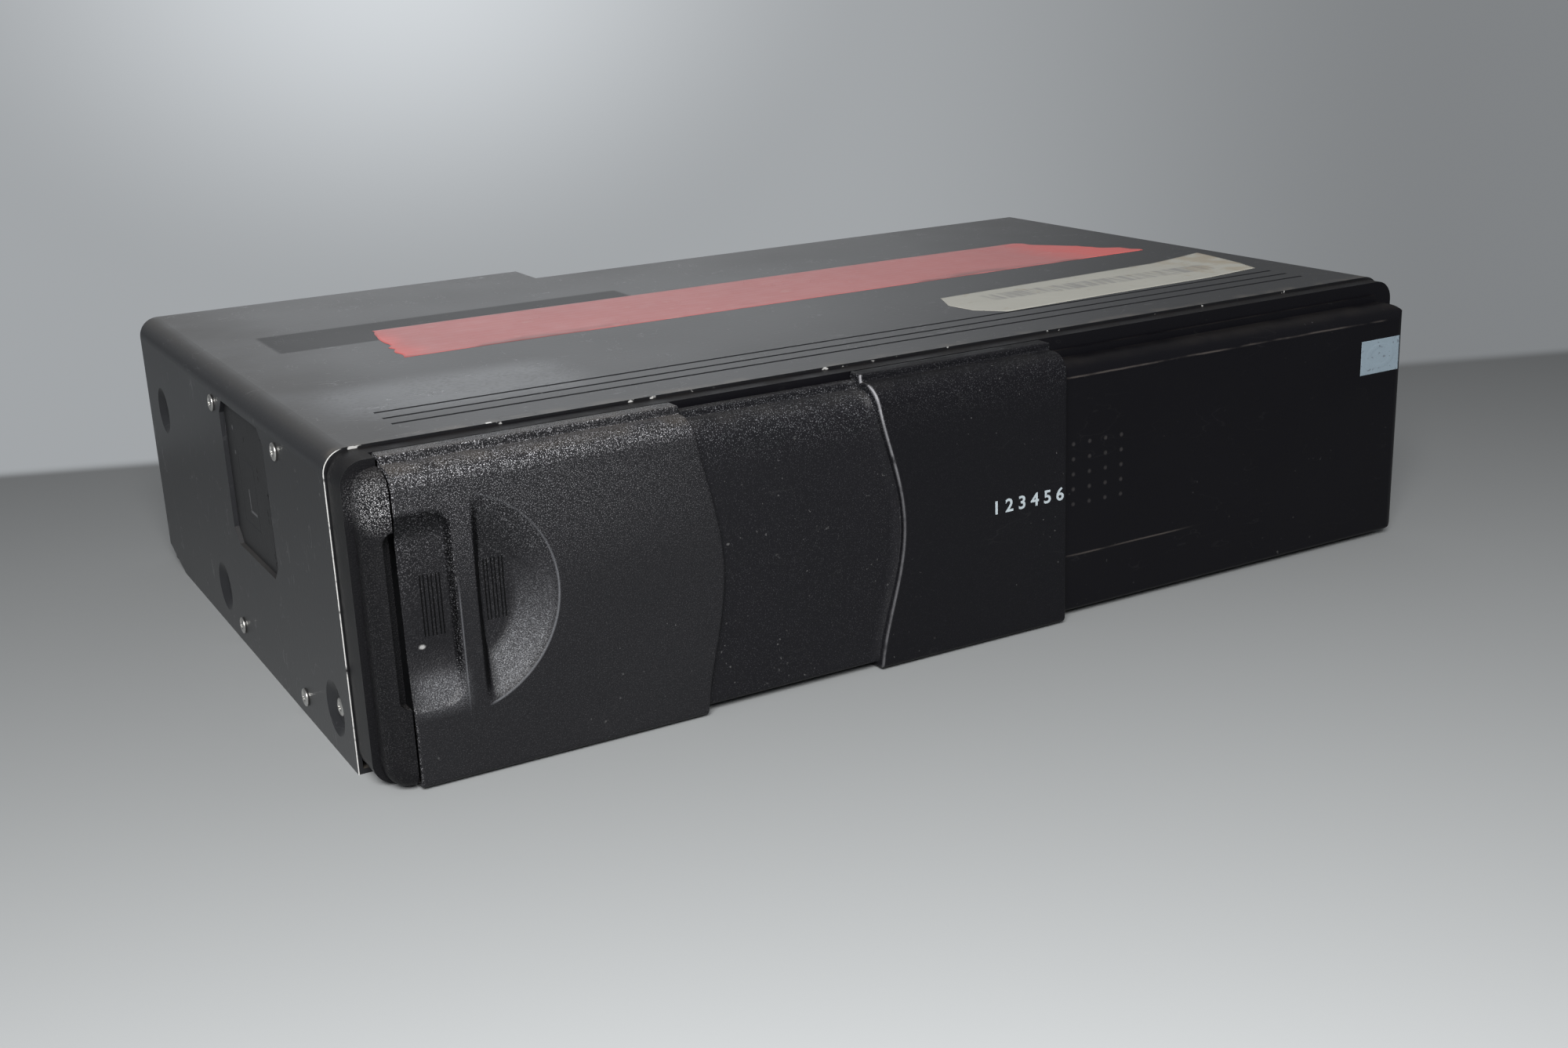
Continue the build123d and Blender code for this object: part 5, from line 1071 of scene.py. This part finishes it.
class BuildTapeAndLabel(bpy.types.Operator):
    """Build the torn tape and the worn label on the cover"""

    bl_idname = "disc_changer.build_tape_and_label"
    bl_label = "Tape and label"

    def execute(self, context):
        settings = context.scene.disc_changer_marks
        random = np.random.default_rng(7)
        torn = np.linspace(0, 1, 18)
        left_end = (torn, 37.2 + 3.4 * torn + random.uniform(-0.7, 0.7, 18))
        right_end = (torn, 239.0 - 17.0 * np.clip(torn * 1.25 - 0.25, 0, 1) ** 0.8 + random.uniform(-1.2, 1.2, 18))
        near = ((37, 60, 120, 180, 240), (66.0, 66.3, 66.0, 66.2, 66.0))
        far = ((37, 60, 120, 180, 240), (99.5, 99.6, 99.3, 99.5, 98.5))

        def wrinkle(x, y):
            return 0.014 * np.sin(x / 3.1 + np.sin(y / 4.0)) * np.sin(y / 2.3) ** 2

        tape = lay_mesh("cover_tape", *skin_between(near, far, left_end, right_end, 260, 40, wrinkle))
        dress(tape, tape_finish("faded_red_tape", tuple(settings.tape), tuple(settings.tape_end)))
        carry(tape, "case", "case_steel")
        left_end = ((0, 0.2, 0.6, 1.0), (162.5, 157.5, 156.6, 160.5))
        right_end = ((0, 0.3, 0.7, 1.0), (241.0, 243.5, 245.5, 246.5))
        near = ((156, 163.5, 190, 223.9, 241.6, 247), (24.5, 22.0, 23.2, 24.1, 26.5, 28.0))
        far = ((156, 159.6, 190, 228, 240, 247), (44.8, 45.4, 47.0, 48.8, 51.6, 53.5))

        def swell(x, y):
            return 0.012 * np.sin(x / 5.0) * np.sin(y / 3.0)

        label = lay_mesh("cover_label", *skin_between(near, far, left_end, right_end, 120, 30, swell))
        dress(label, label_finish("worn_paper", tuple(settings.paper)))
        carry(label, "case", "case_steel")
        return {"FINISHED"}


class BuildFasteners(bpy.types.Operator):
    """Build the case screws with cross recesses"""

    bl_idname = "disc_changer.build_fasteners"
    bl_label = "Case screws"

    def execute(self, context):
        heads = []
        for side_x, outward in ((LEFT, -1.0), (RIGHT, 1.0)):
            for behind, height in SIDE_SCREWS:
                heads.append(screw_head((side_x, FRONT + behind, height), (outward, 0, 0)))
            seat = side_x - outward * DISH_DEPTH
            heads.append(screw_head((seat, FRONT + FRONT_SCREW[0], FRONT_SCREW[1]), (outward, 0, 0)))
        screws = lay_mesh("case_screw_heads", *join_shells(heads))
        dress(screws, metal_finish("bright_zinc", (0.58, 0.57, 0.55), (0.78, 0.77, 0.74), 0.22, (0.8, EVEN)))
        carry(screws, "case", "screw_zinc", "case_screws")
        return {"FINISHED"}


class BuildSprings(bpy.types.Operator):
    """Build the wound suspension and ejector springs and the sled's threaded screw"""

    bl_idname = "disc_changer.build_springs"
    bl_label = "Springs and sled screw"

    def execute(self, context):
        wire = metal_finish("wound_wire", (0.40, 0.40, 0.41), (0.58, 0.58, 0.58), 0.25)
        low, high = in_mm(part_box("suspension_springs"))
        frame_low, frame_high = in_mm(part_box("mech_frame"))
        level = (low.z + high.z) / 2
        wires = []
        for place in (low.y + 2.4, high.y - 2.4):
            for start, end, turns in ((low.x, frame_low.x, 5.0), (frame_high.x, high.x, 4.5)):
                wires.append(coil((start, place, level), (end, place, level), 2.05, 0.32, turns))
        springs = lay_mesh("wound_suspension_springs", *join_shells(wires))
        dress(springs, wire)
        carry(springs, "case", "spring_steel", "suspension_springs")
        low, high = in_mm(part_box("ejector_springs"))
        level = (low.z + high.z) / 2
        wires = [coil((x, low.y, level), (x, high.y, level), 2.95, 0.4, 8.0) for x in (low.x + 3.4, high.x - 3.4)]
        springs = lay_mesh("wound_ejector_springs", *join_shells(wires))
        dress(springs, wire)
        carry(springs, "case", "spring_steel", "ejector_springs")
        low, high = in_mm(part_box("sled_screw"))
        middle = (low + high) / 2
        rod = threaded_rod((middle.x, low.y, middle.z), (middle.x, high.y, middle.z), (high.x - low.x) / 2, 0.3, 2.0)
        screw = lay_mesh("threaded_sled_screw", *rod)
        dress(screw, metal_finish("ground_steel", (0.55, 0.55, 0.54), (0.70, 0.70, 0.69), 0.2))
        carry(screw, "sled_screw", "screw_zinc", "sled_screw")
        return {"FINISHED"}


class FinishFrame(bpy.types.Operator):
    """Give every CAD node that stays its finish"""

    bl_idname = "disc_changer.finish_frame"
    bl_label = "Finishes of the CAD nodes"

    def execute(self, context):
        made = {}
        for part in frame["record"]["subparts"]:
            slot = part["material_slot"]
            if slot not in made:
                maker, *given = CAD_FINISHES[slot]
                made[slot] = maker(*given)
            dress(frame["nodes"][part["node"]], made[slot])
        return {"FINISHED"}


class SetStage(bpy.types.Operator):
    """Set the floor, the light and the camera"""

    bl_idname = "disc_changer.set_stage"
    bl_label = "Stage, light and camera"

    def execute(self, context):
        settings = context.scene.disc_changer_stage
        context.scene.view_settings.view_transform = "Standard"
        set_floor()
        set_world(settings.ambient, settings.glow)
        set_key_light(settings.key_power)
        set_camera(context.scene)
        return {"FINISHED"}


def printed_text(name, text, across, up, face_y):
    """Flat figures as a thin mesh, stretched to fill a box on the front."""
    curve = bpy.data.curves.new(name, "FONT")
    curve.body = text
    curve.offset = 0.018
    curve.extrude = 0.01
    curve.resolution_u = 4
    writer = show(name + "_curve", curve)
    bpy.context.view_layer.update()
    mesh = bpy.data.meshes.new_from_object(writer.evaluated_get(bpy.context.evaluated_depsgraph_get()))
    bpy.data.objects.remove(writer)
    points = np.empty(len(mesh.vertices) * 3)
    mesh.vertices.foreach_get("co", points)
    points = points.reshape(-1, 3)
    low, high = points.min(0), points.max(0)
    share = (points - low) / np.maximum(high - low, 1e-9)
    placed = np.empty_like(points)
    placed[:, 0] = across[0] + share[:, 0] * (across[1] - across[0])
    placed[:, 1] = face_y + 0.04 - share[:, 2] * 0.06
    placed[:, 2] = up[0] + share[:, 1] * (up[1] - up[0])
    mesh.vertices.foreach_set("co", (placed * MM).ravel())
    mesh.name = name
    mesh.update()
    return show(name, mesh)


def set_floor():
    """One wide sheet: a pale floor whose colour darkens away from the camera as painted fall-off of light, and past
    the wall's foot its soft grey with painted light, brighter to the left and in one broad patch.
    """
    reach = 90000.0
    steps = np.linspace(-reach, reach, 3)
    points = [(x, y, -0.02) for y in steps for x in steps]
    quads = [(k, k + 1, k + 4, k + 3) for k in (0, 1, 3, 4)]
    floor = lay_mesh("studio_floor", points, quads)
    if floor.data.polygons[0].normal.z < 0:
        floor.data.flip_normals()
    f = Finish("studio_floor_paint")
    x, y = f.place()[:2]
    dx = x - CAMERA_PLACE[0]
    dy = y - CAMERA_PLACE[1]
    away = (dx * dx + dy * dy) ** 0.5
    foot = np.array(WALL_FOOT_RIGHT) - np.array(WALL_FOOT_LEFT)
    foot = foot / np.linalg.norm(foot)
    past = (x - WALL_FOOT_LEFT[0]) * -foot[1] + (y - WALL_FOOT_LEFT[1]) * foot[0]
    wall = f.rise(past, -7.0, 7.0)
    # Painted light: the floor's colour darkens with distance from the camera, standing for the fall-off of the light.
    floor_grey_and_light_falloff = ((away / 211.0) ** -0.93 * 0.50) & 0.53
    floor_grey_and_light_falloff = (floor_grey_and_light_falloff | 0.145) + (f.noise(400.0, 3.0) - 0.5) * 0.02
    # Painted light on the wall: brighter to the left and in one broad bright patch, shown to the camera as emission.
    heading = math.atan2(CAMERA_FORWARD[0], CAMERA_FORWARD[1])
    turn = dx.math("ARCTAN2", dy) - heading
    rise = CAMERA_PLACE[2] / away
    leftward = f.rise(turn, 0.36, 0.02)
    spread = (((turn + 0.19) / 0.26) ** 2.0 + ((rise + 0.02) / 0.2) ** 2.0) ** 0.5
    wall_grey_and_painted_light = 0.225 + leftward * 0.155 + f.rise(spread, 1.0, 0.0) * 0.32
    tint_floor = f.blend(floor_grey_and_light_falloff, 0.0, (0.965, 1.0, 1.025))
    tint_wall = f.blend(wall_grey_and_painted_light, 0.0, (0.955, 1.0, 1.04))
    colour = f.blend(wall, tint_floor, tint_wall)
    matt = f.node("ShaderNodeBsdfDiffuse", None, {"Color": colour})
    seen = f.node("ShaderNodeLightPath", None, None, "Is Camera Ray")
    painted = f.node("ShaderNodeEmission", None, {"Color": tint_wall, "Strength": 1.0})
    whole = f.node("ShaderNodeMixShader", None, {0: wall * seen, 1: matt, 2: painted})
    f.node("ShaderNodeOutputMaterial", None, {"Surface": whole})
    dress(floor, f.material)


def set_world(ambient, glow):
    """Even grey light with one broad bright patch low behind the changer, as a lit wall gives."""
    bright_way = (0.285, 0.956, 0.062)
    world = bpy.data.worlds.new("studio_light")
    world.use_nodes = True
    bpy.context.scene.world = world
    f = Finish("studio_light", world.node_tree)
    direction = f.node("ShaderNodeTexCoord", output="Generated")
    bright = f.node("ShaderNodeVectorMath", {"operation": "DOT_PRODUCT"}, {0: direction, 1: bright_way}, "Value")
    level = f.rise(bright, 0.89, 1.0) * glow + ambient
    seen = f.node("ShaderNodeLightPath", None, None, "Is Camera Ray")
    level = level * (1 - seen) + seen * 0.5
    shine = f.node("ShaderNodeBackground", None, {"Color": (0.97, 1.0, 1.03, 1.0), "Strength": level})
    f.node("ShaderNodeOutputWorld", None, {"Surface": shine})


def set_key_light(power):
    """A large soft light over the camera's left shoulder, turned to the changer's front left."""
    lamp = bpy.data.lights.new("key_light", "AREA")
    lamp.shape = "RECTANGLE"
    lamp.size = 0.55
    lamp.size_y = 0.4
    lamp.energy = power
    lamp.color = (1.0, 0.99, 0.97)
    place = np.array((-0.42, -0.72, 0.62))
    aim = np.array((-0.06, -0.06, 0.03))
    back = (place - aim) / np.linalg.norm(place - aim)
    side = np.cross((0, 0, 1), back)
    side /= np.linalg.norm(side)
    show("key_light", lamp).matrix_world = matrix_of(side, np.cross(back, side), back, place)


def matrix_of(right, up, back, place):
    """A place and three directions as one matrix."""
    rows = [[right[i], up[i], back[i], place[i]] for i in range(3)]
    return Matrix(rows + [[0, 0, 0, 1]])


def set_camera(scene):
    """The photograph's camera."""
    camera = bpy.data.cameras.new("photo_camera")
    camera.sensor_fit = "HORIZONTAL"
    camera.sensor_width = SENSOR_WIDTH
    camera.lens = FOCAL_LENGTH
    camera.clip_start = 0.01
    camera.clip_end = 50.0
    camera.dof.use_dof = False
    holder = show("photo_camera", camera)
    up = [-value for value in CAMERA_DOWN]
    back = [-value for value in CAMERA_FORWARD]
    holder.matrix_world = matrix_of(CAMERA_RIGHT, up, back, [value * MM for value in CAMERA_PLACE])
    scene.camera = holder


# ---------------------------------------------------------------- panel and running
OPERATORS = (SetStage, BuildDoors, BuildMarks, BuildTapeAndLabel, BuildFasteners, BuildSprings, FinishFrame)


class DiscChangerPanel(bpy.types.Panel):
    """Lists the steps that dress the disc changer"""

    bl_idname = "VIEW3D_PT_disc_changer"
    bl_label = "Disc changer"
    bl_space_type = "VIEW_3D"
    bl_region_type = "UI"
    bl_category = "Disc changer"

    def draw(self, context):
        layout = self.layout
        scene = context.scene
        for group in (scene.disc_changer_doors, scene.disc_changer_marks, scene.disc_changer_stage):
            for name in group.__annotations__:
                layout.prop(group, name)
        for operator in OPERATORS:
            layout.operator(operator.bl_idname)


CLASSES = (DoorSettings, MarkSettings, StageSettings, *OPERATORS, DiscChangerPanel)


def register():
    for cls in CLASSES:
        bpy.utils.register_class(cls)
    bpy.types.Scene.disc_changer_doors = bpy.props.PointerProperty(type=DoorSettings)
    bpy.types.Scene.disc_changer_marks = bpy.props.PointerProperty(type=MarkSettings)
    bpy.types.Scene.disc_changer_stage = bpy.props.PointerProperty(type=StageSettings)


def unregister():
    del bpy.types.Scene.disc_changer_stage
    del bpy.types.Scene.disc_changer_marks
    del bpy.types.Scene.disc_changer_doors
    for cls in reversed(CLASSES):
        bpy.utils.unregister_class(cls)


def main():
    """Runs every step in order."""
    register()
    for operator in OPERATORS:
        group, name = operator.bl_idname.split(".")
        getattr(getattr(bpy.ops, group), name)()


if __name__ == "__main__":
    main()
